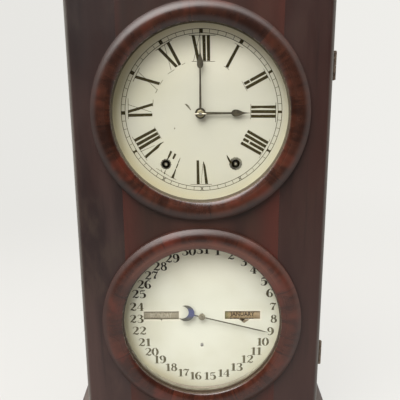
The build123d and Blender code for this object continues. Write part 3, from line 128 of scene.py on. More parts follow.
class Finish(Tree):
    # one material around a Principled shader, whose colours are laid over a ground
    def __init__(self, name, values, ground=None):
        self.material = bpy.data.materials.new(name)
        self.material.use_nodes = True
        super().__init__(self.material.node_tree)
        self.shader = self.nodeTree.nodes["Principled BSDF"]
        self.result = self.nodeTree.nodes["Material Output"]
        self.place = self.named("TexCoord")["Object"]
        self.x, self.y, self.z = self.node("SeparateXYZ", {}, {0: self.place})
        self.colour = ground
        self.feed(values)

    def feed(self, values):
        self.fill(self.shader.inputs, values)

    def lay(self, share, colour):
        self.colour = self.mix(share, self.colour, colour)
        self.feed({"Base Color": self.colour})

    def show(self, shader):
        self.fill(self.result.inputs, {"Surface": shader})

    def noise(self, scale=1.0, stretch=(1, 1, 1), detail=3.0, rough=0.6, shift=(0, 0, 0),
              along=None):
        placed = self.node("Mapping", {}, {0: along or self.place, 1: shift, 3: stretch})[0]
        values = {"Vector": placed, "Scale": scale, "Detail": detail, "Roughness": rough}
        return self.node("TexNoise", {}, values)[0]

    def distance(self, x, z):
        across = self.x - x
        up = self.z - z
        return (across * across + up * up) ** 0.5

    def bump(self, height, depth, strength):
        values = {"Strength": strength, "Distance": depth, "Height": height}
        self.feed({"Normal": self.node("Bump", {}, values)[0]})

    def cover(self, *names):
        for name in names:
            piece = nodes[name]
            if not piece.material_slots:
                piece.data.materials.append(self.material)
            for slot in piece.material_slots:
                slot.material = self.material


# wood
darkLook = {
    "dark": (31, 19, 18),
    "light": (52, 37, 34),
    "olive": (48, 36, 30),
    "red": (56, 28, 23),
    "redness": 0.35,
    "seamRed": 0.0,
    "right": (45, 23, 18),
    "middleRailLight": 0.0,
    "pores": (22, 15, 14),
    "low": (72, 52, 48),
    "worn": (108, 106, 100),
    "dustAndTopLight": (112, 104, 98),
}
redLook = {
    "dark": (38, 23, 18),
    "light": (50, 29, 22),
    "olive": (45, 29, 21),
    "red": (68, 28, 21),
    "redness": 0.3,
    "seamRed": 0.7,
    "right": (62, 28, 20),
    "middleRailLight": 0.9,
    "pores": (22, 14, 12),
    "low": (72, 45, 37),
    "worn": (96, 70, 58),
    "dustAndTopLight": (100, 84, 76),
}
veneerGrain = {
    "band": {"stretch": (30, 30, 5), "rough": 0.5},
    "streak": {"stretch": (190, 190, 9), "detail": 4.0},
    "blotch": {"stretch": (42, 42, 20), "shift": (5.2, 1.1, 0)},
    "cloud": {"stretch": (14, 14, 5), "detail": 2.0, "rough": 0.5, "shift": (3.1, 0, 7.7)},
    "pores": {"stretch": (1500, 1500, 30), "detail": 2.0, "rough": 0.5},
}
# places in metres, and spans from where a tone begins to where it is full
veneerSpans = {
    "low": (0.34, 0.1),
    "seam": (0.079, 0.087),
    "seamSpread": 0.02,
    "seamHeight": (0.5, 0.36),
    "right": (0.05, 0.1),
    "upperHeight": (0.4, 0.54),
    "upperAcross": (0.06, -0.06),
    "centralPlace": 0.326,
    "centralHeight": (0.034, 0.008),
    "centralAcross": (0.046, 0.01),
    "front": (-0.034, -0.040),
    "arris": (0.1365, 0.1415),
    "doorMiddle": 0.3221,
    "doorHalf": 0.2555,
}
# the door's round openings behind the glass are painted pale like putty, lighter than the wood as
# painted light in the shaded recess, and the lower one darker as painted shade
glassOpenings = [
    {"centre": timeCentre, "reach": 0.1003, "paint": (194, 190, 172)},
    {"centre": calendarCentre, "reach": 0.0976, "paint": (152, 148, 130)},
]


def veneerFinish(name, look, grain, spans):
    # vertical grain under old, blotchy varnish
    finish = Finish(name, {"IOR": 1.42}, look["dark"])
    band, streak, blotch, cloud, pores = [finish.noise(**grain[part]) for part in grain]
    x, y, z = finish.x, finish.y, finish.z
    finish.lay(finish.ease(band, 0.34, 0.68), look["light"])
    finish.lay(finish.ease(blotch, 0.48, 0.7) * 0.7, look["olive"])
    # painted reflection: the wood is lighter towards the bottom, where it would mirror the pale
    # floor
    low = finish.ease(z, *spans["low"]) * (0.2 + 0.4 * blotch) * (1.0 - 0.5 * look["middleRailLight"])
    finish.lay(low, look["low"])
    below = finish.ease(z, *spans["seamHeight"])
    seamStart, seamEnd = spans["seam"]
    seam = finish.ease(abs(x), seamStart - spans["seamSpread"] * below, seamEnd)
    seam = seam * (0.5 + 0.5 * below) * look["seamRed"] * (0.75 + 0.25 * (x > 0.0))
    finish.lay(finish.ease(cloud, 0.4, 0.7) * look["redness"] + seam, look["red"])
    finish.lay(finish.ease(x, *spans["right"]) * 0.55, look["right"])
    finish.lay(finish.ease(streak, 0.52, 0.74) * 0.35, look["pores"])
    finish.lay(finish.ease(pores, 0.60, 0.72) * 0.3, look["pores"])
    # painted shade: the wood is darker towards the top left
    upper = finish.ease(z, *spans["upperHeight"]) * finish.ease(x, *spans["upperAcross"])
    finish.lay(upper * 0.4, look["pores"])
    front = finish.ease(y, *spans["front"])
    # painted light: a paler patch on the front of the middle rail, between the bezels, lifts the
    # shadow that the upper bezel casts there
    middleRailLight = finish.ease(abs(z - spans["centralPlace"]), *spans["centralHeight"])
    middleRailLight = middleRailLight * finish.ease(abs(x), *spans["centralAcross"]) * front * look["middleRailLight"]
    finish.lay(middleRailLight, look["low"])
    # pale walls in the openings, partly putty and partly painted light and shade
    for opening in glassOpenings:
        inside = finish.distance(opening["centre"].x, opening["centre"].z) < opening["reach"]
        finish.lay(inside, opening["paint"])
    onDoor = abs(z - spans["doorMiddle"]) < spans["doorHalf"]
    # the door's rounded front edges are paler: wear, and a painted reflection of the pale room
    arris = finish.ease(abs(x), *spans["arris"]) * front * onDoor
    finish.lay(arris * (0.4 + 0.5 * blotch), look["worn"])
    # faces turned upwards are paler: dust, and painted light from above
    facing = finish.node("SeparateXYZ", {}, {0: finish.named("TexCoord")["Normal"]})[2]
    dustAndTopLight = finish.ease(facing, 0.7, 0.95) * (0.35 + 0.4 * blotch)
    finish.lay(dustAndTopLight, look["dustAndTopLight"])
    finish.feed({"Roughness": 0.34 + 0.16 * blotch + 0.2 * dustAndTopLight})
    finish.bump(pores + 0.6 * streak, 0.00006, 0.5)
    return finish


darkVeneer = veneerFinish("dark_veneer", darkLook, veneerGrain, veneerSpans)
darkVeneer.cover("side_panel_left", "side_panel_right", "top_board", "base_front", "base_left")
darkVeneer.cover("base_right", "cornice_front", "cornice_left", "cornice_right")
darkVeneer.cover("door_stile_left", "door_stile_right")
redVeneer = veneerFinish("red_veneer", redLook, veneerGrain, veneerSpans)
redVeneer.cover("door_rail_top", "door_rail_middle", "door_rail_bottom")

# spans run from where a tone begins to where it is full, in metres, and for joints in segments;
# the inner and lip spans start from the sight opening
bezelLook = {
    "sight": 0.095,
    "dark": (30, 14, 9),
    "light": (63, 33, 22),
    "red": (80, 30, 19),
    "dull": (54, 36, 31),
    "lip": (98, 91, 76),
    "joint": (16, 8, 6),
    "topLight": (106, 66, 53),
    "topLightShare": 0.0,
    "segments": 8,
    "turn": 0.36,
    "grain": (16.0, 40.0, 7.3),
    "jointSpan": (0.488, 0.498),
    "edgeSpan": (0.1095, 0.1155),
    "topLightHeight": (0.03, 0.08),
    "topLightRadius": (0.1055, 0.100),
    "leftSpan": (0.0, -0.1),
    "innerSpan": (0.008, 0.005),
    "lipSpan": (0.0019, 0.0013),
}
lowerBezelLook = {
    **bezelLook,
    "sight": 0.0923,
    "dark": (38, 17, 11),
    "light": (70, 34, 23),
    "red": (84, 31, 22),
    "dull": (62, 42, 35),
    "lip": (70, 62, 50),
    "turn": 0.31,
    "topLightShare": 0.6,
}


def bezelFinish(name, centre, look):
    # the grain runs across the ring, and each segment has its own tone
    finish = Finish(name, {"IOR": 1.5}, look["dark"])
    across = finish.x - centre.x
    up = finish.z - centre.z
    angle = finish.maths("ARCTAN2", up, across)
    radius = finish.distance(centre.x, centre.z)
    beyond = radius - look["sight"]
    pieces = (angle / (2 * math.pi) + 0.5 + look["turn"]) * look["segments"]
    number = finish.maths("FLOOR", pieces)
    inPiece = pieces - number
    turns, outwards, steps = look["grain"]
    parts = {0: angle * turns, 1: radius * outwards, 2: number * steps}
    polar = finish.node("CombineXYZ", {}, parts)[0]
    streak = finish.noise(detail=4.0, along=polar)
    fine = finish.noise(stretch=(9, 1.5, 1), along=polar)
    perPiece = finish.node("TexWhiteNoise", {"noise_dimensions": "1D"}, {1: number + 0.5})[0]
    cloud = finish.noise(34.0, rough=0.5)
    tone = 0.4 * streak + 0.12 * fine + 0.12 * perPiece + 0.48 * cloud
    finish.lay(finish.ease(tone, 0.42, 0.74), look["light"])
    finish.lay(finish.ease(cloud, 0.5, 0.7) * 0.5, look["red"])
    joint = finish.ease(abs(inPiece - 0.5), *look["jointSpan"])
    finish.lay(joint * 0.6, look["joint"])
    # the outer edge is greyer: dust, and a painted reflection of the room on the grazing edge
    edge = finish.ease(radius, *look["edgeSpan"])
    finish.lay(edge * (0.15 + 0.5 * cloud), look["dull"])
    # painted light: the inner slope at the top is paler and redder, as if lit from below
    topLight = finish.ease(up, *look["topLightHeight"]) * finish.ease(radius, *look["topLightRadius"])
    finish.lay(topLight * look["topLightShare"], look["topLight"])
    # painted shade: the outer edge is darker on the left, which dims the front lamp's sheen there
    left = finish.ease(across, *look["leftSpan"])
    finish.lay(edge * left * 0.7, look["dark"])
    inner = finish.ease(beyond, *look["innerSpan"])
    # painted reflection of the dial on the inner lip and flank, which also lifts their shade; the
    # lower ring's lip is darker, as painted shade
    lip = finish.ease(beyond, *look["lipSpan"])
    finish.lay(lip * 0.75, look["lip"])
    finish.feed({"Roughness": 0.23 + 0.1 * cloud + 0.2 * edge - 0.08 * inner})
    finish.bump(fine, 0.00006, 0.5)
    return finish


upperTurned = bezelFinish("turned_wood_upper", timeCentre, bezelLook)
lowerTurned = bezelFinish("turned_wood_lower", calendarCentre, lowerBezelLook)

pineLook = {
    "light": (190, 156, 112),
    "dark": (160, 122, 82),
    "dirt": (92, 70, 48),
    "joint": 0.047,
    "jointWidth": 0.0005,
    "jointsBehind": 0.055,
}
retainerLook = {**pineLook, "light": (118, 114, 98), "dark": (100, 96, 80), "dirt": (74, 70, 54)}


def pineFinish(name, look):
    # plain softwood, with the joints of the boards at the very back
    finish = Finish(name, {"Roughness": 0.72}, look["light"])
    ring = finish.noise(stretch=(90, 90, 2.0), detail=4.0, rough=0.55)
    line = finish.noise(stretch=(520, 520, 8))
    dirt = finish.noise(14.0, detail=4.0)
    finish.lay(finish.ease(ring, 0.4, 0.62), look["dark"])
    finish.lay(finish.ease(line, 0.5, 0.75) * 0.4, look["dark"])
    joint = abs(abs(finish.x) - look["joint"]) < look["jointWidth"]
    joint = joint * (finish.y > look["jointsBehind"])
    finish.lay(finish.ease(dirt, 0.5, 0.8) * 0.5 + joint * 0.6, look["dirt"])
    finish.bump(line, 0.0001, 0.4)
    return finish


pineFinish("pine", pineLook).cover("bottom_board", "glue_blocks", "back_board", "dial_posts")
pineFinish("retainer_wood", retainerLook).cover("glass_retainers")

# metal
metalLooks = {
    "hinge_brass": {
        "bright": (140, 126, 112), "dull": (78, 66, 57), "roughness": 0.5, "scale": 240.0,
    },
    "movement_brass": {
        "bright": (206, 176, 112), "dull": (164, 130, 74), "roughness": 0.36, "scale": 60.0,
    },
    "bright_steel": {
        "bright": (186, 184, 178), "dull": (128, 124, 116), "roughness": 0.38, "scale": 150.0,
    },
}


def metalFinish(name):
    look = metalLooks[name]
    finish = Finish(name, {"Metallic": 1.0}, look["bright"])
    cloud = finish.noise(look["scale"], detail=4.0)
    scratch = finish.noise(stretch=(2400, 2400, 160), detail=2.0, rough=0.5)
    finish.lay(finish.ease(cloud, 0.35, 0.7), look["dull"])
    finish.feed({"Roughness": look["roughness"] + 0.22 * cloud + 0.1 * scratch - 0.12})
    finish.bump(scratch, 0.00002, 0.3)
    return finish


metalFinish("hinge_brass").cover("case_hinge_leaves", "hinge_pins", "door_hinge_leaves")
movementBrass = metalFinish("movement_brass")
movementBrass.cover("movement_front_plate", "movement_back_plate", "movement_pillars", "hour_wheel")
movementBrass.cover("minute_wheel", "centre_wheel", "second_wheel", "time_great_wheel")
movementBrass.cover("third_wheel", "escape_wheel", "strike_great_wheel", "pendulum_bob")
brightSteel = metalFinish("bright_steel")
brightSteel.cover("dial_screws", "case_hinge_screws", "door_hinge_screws", "mainsprings")
brightSteel.cover("coil_gong", "centre_arbor", "verge", "pendulum_rod", "strike_hammer")
brightSteel.cover("calendar_lever")

# the two winding squares, and the worn paint around their holes in the dial
windingLook = {
    "across": 0.0395,
    "below": 0.0575,
    "steel": (60, 56, 46),
    "rubbed": (167, 162, 141),
    "rubbedSpan": (0.0012, 0.0026),
    "uneven": 0.0012,
    "bare": 0.0073,
    "bareMore": 0.0006,
    "notches": 13.0,
    "notch": 0.00022,
}


def windingFinish(name, side, look):
    # the squared end is bright only where the key has rubbed it
    finish = Finish(name, {"Metallic": 0.6, "Roughness": 0.45}, look["steel"])
    away = finish.distance(side * look["across"], timeCentre.z - look["below"])
    grain = finish.noise(700.0)
    rubbed = 1.0 - finish.ease(away + grain * look["uneven"], *look["rubbedSpan"])
    finish.lay(rubbed, look["rubbed"])
    finish.bump(grain, 0.00004, 0.5)
    return finish


windingFinish("winding_left", -1, windingLook).cover("strike_winding_arbor")
windingFinish("winding_right", 1, windingLook).cover("time_winding_arbor")

handLook = {"bright": (77, 71, 55), "dull": (49, 44, 30)}


def handFinish(name, look):
    # oxidised steel that still takes light
    finish = Finish(name, {"Metallic": 0.35, "IOR": 1.6}, look["bright"])
    cloud = finish.noise(180.0, detail=4.0)
    grain = finish.noise(900.0, detail=2.0, rough=0.5)
    finish.lay(finish.ease(cloud, 0.35, 0.65), look["dull"])
    finish.feed({"Roughness": 0.38 + 0.25 * cloud})
    finish.bump(grain, 0.00002, 0.4)
    return finish


handFinish("blued_steel", handLook).cover("minute_hand", "hour_hand")

washerLook = {
    "middle": (144, 136, 107),
    "rim": (48, 41, 24),
    "pin": (196, 190, 170),
    "rimSpan": (0.0036, 0.0044),
    "pinFront": -0.0345,
    "pinHalf": 0.0008,
}


def washerFinish(name, look):
    # a dull washer whose dark rim is painted shade on its steep edge, and a brighter pin across it
    finish = Finish(name, {"Metallic": 0.4, "Roughness": 0.4}, look["middle"])
    radius = finish.distance(timeCentre.x, timeCentre.z)
    finish.lay(finish.ease(radius, *look["rimSpan"]), look["rim"])
    pin = (finish.y < look["pinFront"]) * (abs(finish.z - timeCentre.z) < look["pinHalf"])
    finish.lay(pin, look["pin"])
    return finish


washerFinish("hand_washer", washerLook).cover("hand_washer_and_pin")

dateWheelLook = {
    "brass": [(206, 176, 112), (164, 130, 74)],
    "steel": [(157, 150, 132), (118, 111, 93)],
    "arborFront": -0.024,
}


def dateWheelFinish(name, look):
    # a brass wheel whose arbor's front end is steel
    finish = Finish(name, {"Metallic": 0.5, "Roughness": 0.4}, look["brass"][0])
    cloud = finish.noise(260.0)
    finish.lay(cloud, look["brass"][1])
    finish.lay(finish.y < look["arborFront"], finish.mix(cloud, *look["steel"]))
    return finish


dateWheelFinish("date_arbor", dateWheelLook).cover("date_wheel")

castLook = {"dark": (48, 46, 44), "light": (70, 64, 58)}
castFrame = Finish("cast_frame", {"Roughness": 0.55}, castLook["dark"])
castFrame.lay(castFrame.noise(30.0), castLook["light"])
castFrame.bump(castFrame.noise(700.0), 0.00015, 0.5)
castFrame.cover("calendar_frame")

calendarHandLook = {
    "grey": [(109, 106, 90), (83, 82, 70)],
    "blue": [(81, 86, 92), (86, 90, 125)],
    "hub": (141, 136, 116),
    "hubSpan": (0.0042, 0.0052),
    "leftSpan": (-0.009, -0.006),
    "blueSpan": (0.0185, 0.0265),
    "thickHeight": 0.0055,
    "thickSpan": (0.003, 0.0085),
}


def calendarHandFinish(name, centre, look):
    # grey steel, blued on the crescent, with a paler hub
    finish = Finish(name, {"Metallic": 0.3, "Roughness": 0.42}, look["grey"][0])
    fromHub = finish.distance(centre.x, centre.z)
    cloud = finish.noise(220.0, rough=0.5)
    left = 1.0 - finish.ease(finish.x, *look["leftSpan"])
    near = 1.0 - finish.ease(fromHub, *look["blueSpan"])
    blueShare = left * near * finish.ease(cloud, 0.15, 0.45)
    thick = 1.0 - finish.ease(abs(finish.z - centre.z - look["thickHeight"]), *look["thickSpan"])
    finish.lay(cloud, look["grey"][1])
    finish.lay(blueShare * (0.35 + 0.65 * thick), finish.mix(thick, *look["blue"]))
    finish.lay(1.0 - finish.ease(fromHub, *look["hubSpan"]), look["hub"])
    return finish


calendarHandFinish("calendar_hand_steel", calendarCentre, calendarHandLook).cover("calendar_hand")

# dial paint
dialLook = {
    "timeCream": (177, 176, 161),
    "calendarCream": (208, 209, 194),
    "yellow": (180, 177, 151),
    "rim": (173, 163, 126),
    "halo": (221, 214, 196),
    "pale": (244, 240, 220),
    "stain": (119, 105, 82),
    "zinc": (105, 103, 90),
    "soot": (60, 56, 46),
    "agedSpan": (0.0, 0.07),
    "agedHeight": (-0.07, 0.0),
    "paintedLightHeight": (0.02, 0.085),
    "leftSpan": (0.03, -0.07),
    "leftRim": (0.078, 0.0965),
    "rimSpan": (0.085, 0.097),
}
windowShape = {
    "across": 0.0495,
    "halfWidth": 0.0215,
    "halfHeight": 0.0054,
    "haloSpan": (0.0010, 0.0034),
    "uneven": 0.001,
    "stainShift": 0.0022,
    "stainHalf": 0.0068,
    "stainSlope": 1.3,
}


def windowWear(finish, centre, craze, look, shape):
    # cleaner paint around both windows, and a stain below the right one
    for x in (-shape["across"], shape["across"]):
        beyondX = abs(finish.x - x) - shape["halfWidth"]
        beyondZ = abs(finish.z - centre.z) - shape["halfHeight"]
        beyond = finish.maths("MAXIMUM", beyondX, beyondZ)
        halo = 1.0 - finish.ease(beyond + craze * shape["uneven"], *shape["haloSpan"])
        finish.lay(halo * 0.5, look["halo"])
    under = centre.z - shape["halfHeight"] - finish.z
    away = abs(finish.x - shape["across"] - shape["stainShift"])
    stain = (away < shape["stainHalf"] - shape["stainSlope"] * under) * (under > 0.0)
    finish.lay(stain * 0.95, look["stain"])


def windingWear(finish, centre, craze, look, shape):
    # bare, notched rings around the two winding holes
    bare = 0.0
    for side in (-1, 1):
        x = side * shape["across"]
        z = centre.z - shape["below"]
        around = finish.maths("ARCTAN2", finish.z - z, finish.x - x)
        notch = finish.maths("SINE", around * shape["notches"])
        edge = finish.distance(x, z) + craze * shape["uneven"] + notch * shape["notch"]
        bare = bare + (edge < shape["bare"] + side * shape["bareMore"])
    worn = finish.mix(finish.ease(craze, 0.4, 0.62), look["zinc"], look["soot"])
    finish.lay(bare, worn)


def dialFinish(name, centre, cream, look, addWear, shape):
    finish = Finish(name, {"Roughness": 0.45, "Specular IOR Level": 0.4}, cream)
    radius = finish.distance(centre.x, centre.z)
    up = finish.z - centre.z
    cloud = finish.noise(16.0, rough=0.5)
    speck = finish.noise(900.0, detail=2.0)
    craze = finish.noise(140.0, detail=4.0, rough=0.7)
    aged = finish.ease(cloud, 0.35, 0.7) * finish.ease(radius, *look["agedSpan"])
    aged = aged * (0.36 + 0.08 * finish.ease(up, *look["agedHeight"]))
    finish.lay(aged, look["yellow"])
    # painted light: the top of the dial is paler, which lifts the bezel's shade there
    finish.lay(finish.ease(up, *look["paintedLightHeight"]) * 0.5, look["pale"])
    # a darker, yellower band at the edge, more on the left: discoloured paint, and painted shade of
    # the bezel
    leftSide = finish.ease(finish.x - centre.x, *look["leftSpan"])
    rim = finish.ease(radius, *look["leftRim"]) * 0.35 * leftSide
    rim = rim + finish.ease(radius, *look["rimSpan"]) * 0.3
    finish.lay(rim, look["rim"])
    finish.lay(finish.ease(speck, 0.68, 0.76) * 0.25, look["soot"])
    addWear(finish, centre, craze, look, shape)
    finish.bump(craze, 0.00003, 0.3)
    return finish


timePaint = dialFinish("time_dial_paint", timeCentre, dialLook["timeCream"], dialLook,
                       windingWear, windingLook)
timePaint.cover("time_dial")
calendarPaint = dialFinish("calendar_dial_paint", calendarCentre, dialLook["calendarCream"],
                           dialLook, windowWear, windowShape)
calendarPaint.cover("calendar_dial")

inkLook = {
    "dark": (48, 42, 22),
    "olive": (65, 58, 35),
    "grey": (85, 80, 59),
    "black": (40, 33, 16),
    "faded": (103, 99, 78),
    "blackSpan": (0.026, 0.042),
    "fadedSpan": (0.012, -0.024),
    "slope": 0.08,
    "uneven": 0.012,
}


def inkFinish(name, ground):
    # old paint, chipped through in small spots
    finish = Finish(name, {"Roughness": 0.6, "Specular IOR Level": 0.1}, ground)
    chips = finish.noise(1100.0, detail=2.0, shift=(4, 2, 1))
    finish.feed({"Alpha": 1.0 - finish.ease(chips, 0.66, 0.70)})
    return finish


def timeInkFinish(look):
    finish = inkFinish("time_ink", look["dark"])
    finish.lay(finish.ease(finish.noise(420.0), 0.45, 0.75), look["olive"])
    return finish


def calendarInkFinish(look):
    # the dates fade from the top of the dial to the bottom
    finish = inkFinish("calendar_ink", look["grey"])
    height = finish.z - calendarCentre.z - look["slope"] * finish.x
    height = height + look["uneven"] * finish.noise(300.0)
    finish.lay(finish.ease(height, *look["blackSpan"]), look["black"])
    finish.lay(finish.ease(height, *look["fadedSpan"]), look["faded"])
    return finish


timeInk = timeInkFinish(inkLook)
calendarInk = calendarInkFinish(inkLook)

chipLook = {"light": (105, 103, 86), "dark": (70, 66, 48)}
chipPaint = Finish("dial_chip", {"Roughness": 0.5}, chipLook["light"])
chipCloud = chipPaint.noise(500.0, detail=2.0, rough=0.5)
chipPaint.lay(chipPaint.ease(chipCloud, 0.4, 0.6), chipLook["dark"])

# each end is where a shade begins, where it is full, and the shade
paperLooks = {
    "day_paper": {"clean": (155, 148, 128), "stain": (125, 118, 99), "amount": 0.5},
    "month_paper": {
        "clean": (162, 141, 107),
        "stain": (120, 99, 63),
        "amount": 0.9,
        "ends": [(0.036, 0.029, (128, 127, 81)), (0.063, 0.07, (160, 141, 113))],
    },
    "day_ink": {"clean": (181, 174, 155), "stain": (164, 157, 136), "amount": 0.8},
    "month_ink": {"clean": (51, 35, 19), "stain": (74, 53, 32), "amount": 0.6},
}
fibreShade = (79, 74, 55)


def paperFinish(name):
    look = paperLooks[name]
    finish = Finish(name, {"Roughness": 0.6}, look["clean"])
    fibre = finish.noise(500.0, detail=4.0)
    blot = finish.noise(95.0)
    finish.lay(finish.ease(blot, 0.4, 0.68) * look["amount"], look["stain"])
    for inside, end, shade in look.get("ends", []):
        finish.lay(finish.ease(finish.x, inside, end) * 0.7, shade)
    finish.lay(fibre * 0.25, fibreShade)
    return finish


paperFinish("day_paper").cover("day_roller")
paperFinish("month_paper").cover("month_roller")
dayInk = paperFinish("day_ink")
monthInk = paperFinish("month_ink")

# glass
glassLook = {"bend": 1.26, "roughness": 0.02}


def glassFinish(name, look):
    # only the face towards the ray reflects, because a clear pane doesn't bend the ray inside it
    finish = Finish(name, {})
    clear = finish.node("BsdfTransparent")[0]
    gloss = finish.node("BsdfGlossy", {}, {"Roughness": look["roughness"]})[0]
    share = finish.node("Fresnel", {}, {0: look["bend"]})[0]
    share = share * (1.0 - finish.named("NewGeometry")["Backfacing"])
    finish.show(finish.node("MixShader", {}, {0: share, 1: clear, 2: gloss})[0])
    return finish


glassFinish("window_glass", glassLook).cover("glass_upper", "glass_lower")
print("finishes made:", len(bpy.data.materials))


# pieces
def addObject(name, data):
    made = bpy.data.objects.new(name, data)
    bpy.context.scene.collection.objects.link(made)
    return made


def pourMesh(name, bm):
    mesh = bpy.data.meshes.new(name)
    bm.to_mesh(mesh)
    bm.free()
    return mesh


def finishPiece(name, bm, finish, body, replaced=(), smoothAngle=None):
    bmesh.ops.recalc_face_normals(bm, faces=bm.faces)
    mesh = pourMesh(name, bm)
    mesh.materials.append(finish.material)
    if smoothAngle:
        mesh.shade_smooth()
        mesh.set_sharp_from_angle(angle=math.radians(smoothAngle))
    piece = addObject(name, mesh)
    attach(piece, body)
    if replaced:
        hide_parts(*replaced)


def addSlab(bm, corners, thickness, place):
    # thin painted shape from flat corners, set in place by a matrix
    made = [bm.verts.new((x, y, 0)) for x, y in corners]
    face = bm.faces.new(made)
    grown = bmesh.ops.extrude_face_region(bm, geom=[face])["geom"]
    raised = [item for item in grown if isinstance(item, bmesh.types.BMVert)]
    bmesh.ops.translate(bm, verts=raised, vec=(0, 0, thickness))
    bmesh.ops.transform(bm, matrix=place, verts=made + raised)


def addRing(bm, section, centre, face, steps):
    # a closed section, as distances out of the face and radii, turned once around
    made = [bm.verts.new((centre.x, face - out, centre.z + radius)) for out, radius in section]
    edges = [bm.edges.new(ends) for ends in zip(made, made[1:] + made[:1])]
    bmesh.ops.spin(bm, geom=made + edges, cent=centre, axis=(0, 1, 0), angle=2 * math.pi,
                   steps=steps, use_merge=True)
    bmesh.ops.remove_doubles(bm, verts=bm.verts, dist=1e-6)


def dialPlace(centre, face, turn=0.0, lift=0.0):
    # flat drawing to the dial's face: x stays, y goes up, and turn is clockwise
    stand = Matrix.Rotation(math.radians(90), 4, "X")
    spun = Matrix.Rotation(math.radians(-turn), 4, "Z")
    return Matrix.Translation((centre.x, face - lift, centre.z)) @ stand @ spun


bezelShape = {
    "height": 0.0106,
    "lip": 0.0023,
    "lipWidth": 0.0014,
    "innerBend": 0.022,
    "shoulderBend": 0.0022,
    "outerRise": 0.005,
    "crestShift": 0.0006,
    "steps": (6, 12, 14),
    "ringSteps": 240,
    "smooth": 40,
}


def arcPoints(out, radius, bend, first, last, steps):
    # points on an arc whose angle is measured from the front, outwards
    turns = [first + (last - first) * step / steps for step in range(steps + 1)]
    return [(out + bend * math.cos(turn), radius + bend * math.sin(turn)) for turn in turns]


def makeBezel(node, centre, sight, finish, shape):
    # upright flanks, a soft inner shoulder and a low arch on each side of the crest
    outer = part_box(node)[1].x - centre.x
    inner = sight + shape["lipWidth"]
    height, rise = shape["height"], shape["outerRise"]
    crest = (outer + inner) / 2 + shape["crestShift"]
    bend, small = shape["innerBend"], shape["shoulderBend"]
    tilt = math.asin((crest - inner - small) / (bend - small))
    outerBend = ((outer - crest) ** 2 + rise ** 2) / (2 * rise)
    outerTilt = math.asin((outer - crest) / outerBend)
    shoulder = height - bend + (bend - small) * math.cos(tilt)
    corners = [(0, sight), (shape["lip"], sight), (shape["lip"], inner)]
    steps = shape["steps"]
    corners += arcPoints(shoulder, inner + small, small, -math.pi / 2, -tilt, steps[0])
    corners += arcPoints(height - bend, crest, bend, -tilt, 0, steps[1])[1:]
    corners += arcPoints(height - outerBend, crest, outerBend, 0, outerTilt, steps[2])[1:]
    corners.append((0, outer))
    bm = bmesh.new()
    addRing(bm, corners, centre, doorFront, shape["ringSteps"])
    finishPiece(node + "_ring", bm, finish, "door", [node], shape["smooth"])


makeBezel("bezel_upper", timeCentre, bezelLook["sight"], upperTurned, bezelShape)
makeBezel("bezel_lower", calendarCentre, lowerBezelLook["sight"], lowerTurned, bezelShape)
print("bezels turned")

# sizes in mm, and the hours with narrower, waisted and crossed marks
trackShape = {
    "outer": 89.06,
    "inner": 84.7,
    "line": 0.62,
    "tick": 0.5,
    "square": 4.0,
    "narrower": 0.6,
    "narrowHours": (2, 3),
    "waist": 0.9,
    "waistHours": (4, 8),
    "cross": 1.7,
    "bar": 0.5,
    "crossHours": (5, 6, 7),
    "paint": 0.05,
    "crossLift": 1.2,
    "shift": (1.2, 0.6),
    "steps": 180,
}
paintedTime = timeCentre + Vector((trackShape["shift"][0] * mm, 0, trackShape["shift"][1] * mm))


def minuteMarks(shape, minute):
    # the outlines and thicknesses of one minute's mark
    low, high = shape["inner"] * mm, shape["outer"] * mm
    thickness = shape["paint"] * mm
    half = shape["tick"] / 2 * mm
    hour = minute // 5
    if minute % 5 == 0:
        half = shape["square"] / 2 * mm
        if hour in shape["crossHours"]:
            half, bar = shape["cross"] * mm, shape["bar"] * mm
            bars = []
            for side, lift in ((1, 1), (-1, shape["crossLift"])):
                foot, top = -side * half, side * half
                lower = [(foot - bar, low), (foot + bar, low)]
                upper = [(top + bar, high), (top - bar, high)]
                bars.append((lower + upper, thickness * lift))
            return bars
        if hour in shape["waistHours"]:
            waist, middle = shape["waist"] * mm, (low + high) / 2
            right = [(half, low), (waist, middle), (half, high)]
            left = [(-half, high), (-waist, middle)]
            return [([(-half, low), *right, *left], thickness)]
        if hour in shape["narrowHours"]:
            half = half - shape["narrower"] * mm
    return [([(-half, low), (half, low), (half, high), (-half, high)], thickness)]


def makeTrack(shape):
    bm = bmesh.new()
    half, paint = shape["line"] / 2 * mm, shape["paint"] * mm
    for radius in (shape["outer"] * mm, shape["inner"] * mm):
        inner, outer = radius - half, radius + half
        section = [(0, inner), (0, outer), (paint, outer), (paint, inner)]
        addRing(bm, section, paintedTime, timeFace, shape["steps"])
    for minute in range(60):
        for corners, thickness in minuteMarks(shape, minute):
            addSlab(bm, corners, thickness, dialPlace(paintedTime, timeFace, minute * 6))
    finishPiece("time_track", bm, timeInk, "case")


makeTrack(trackShape)

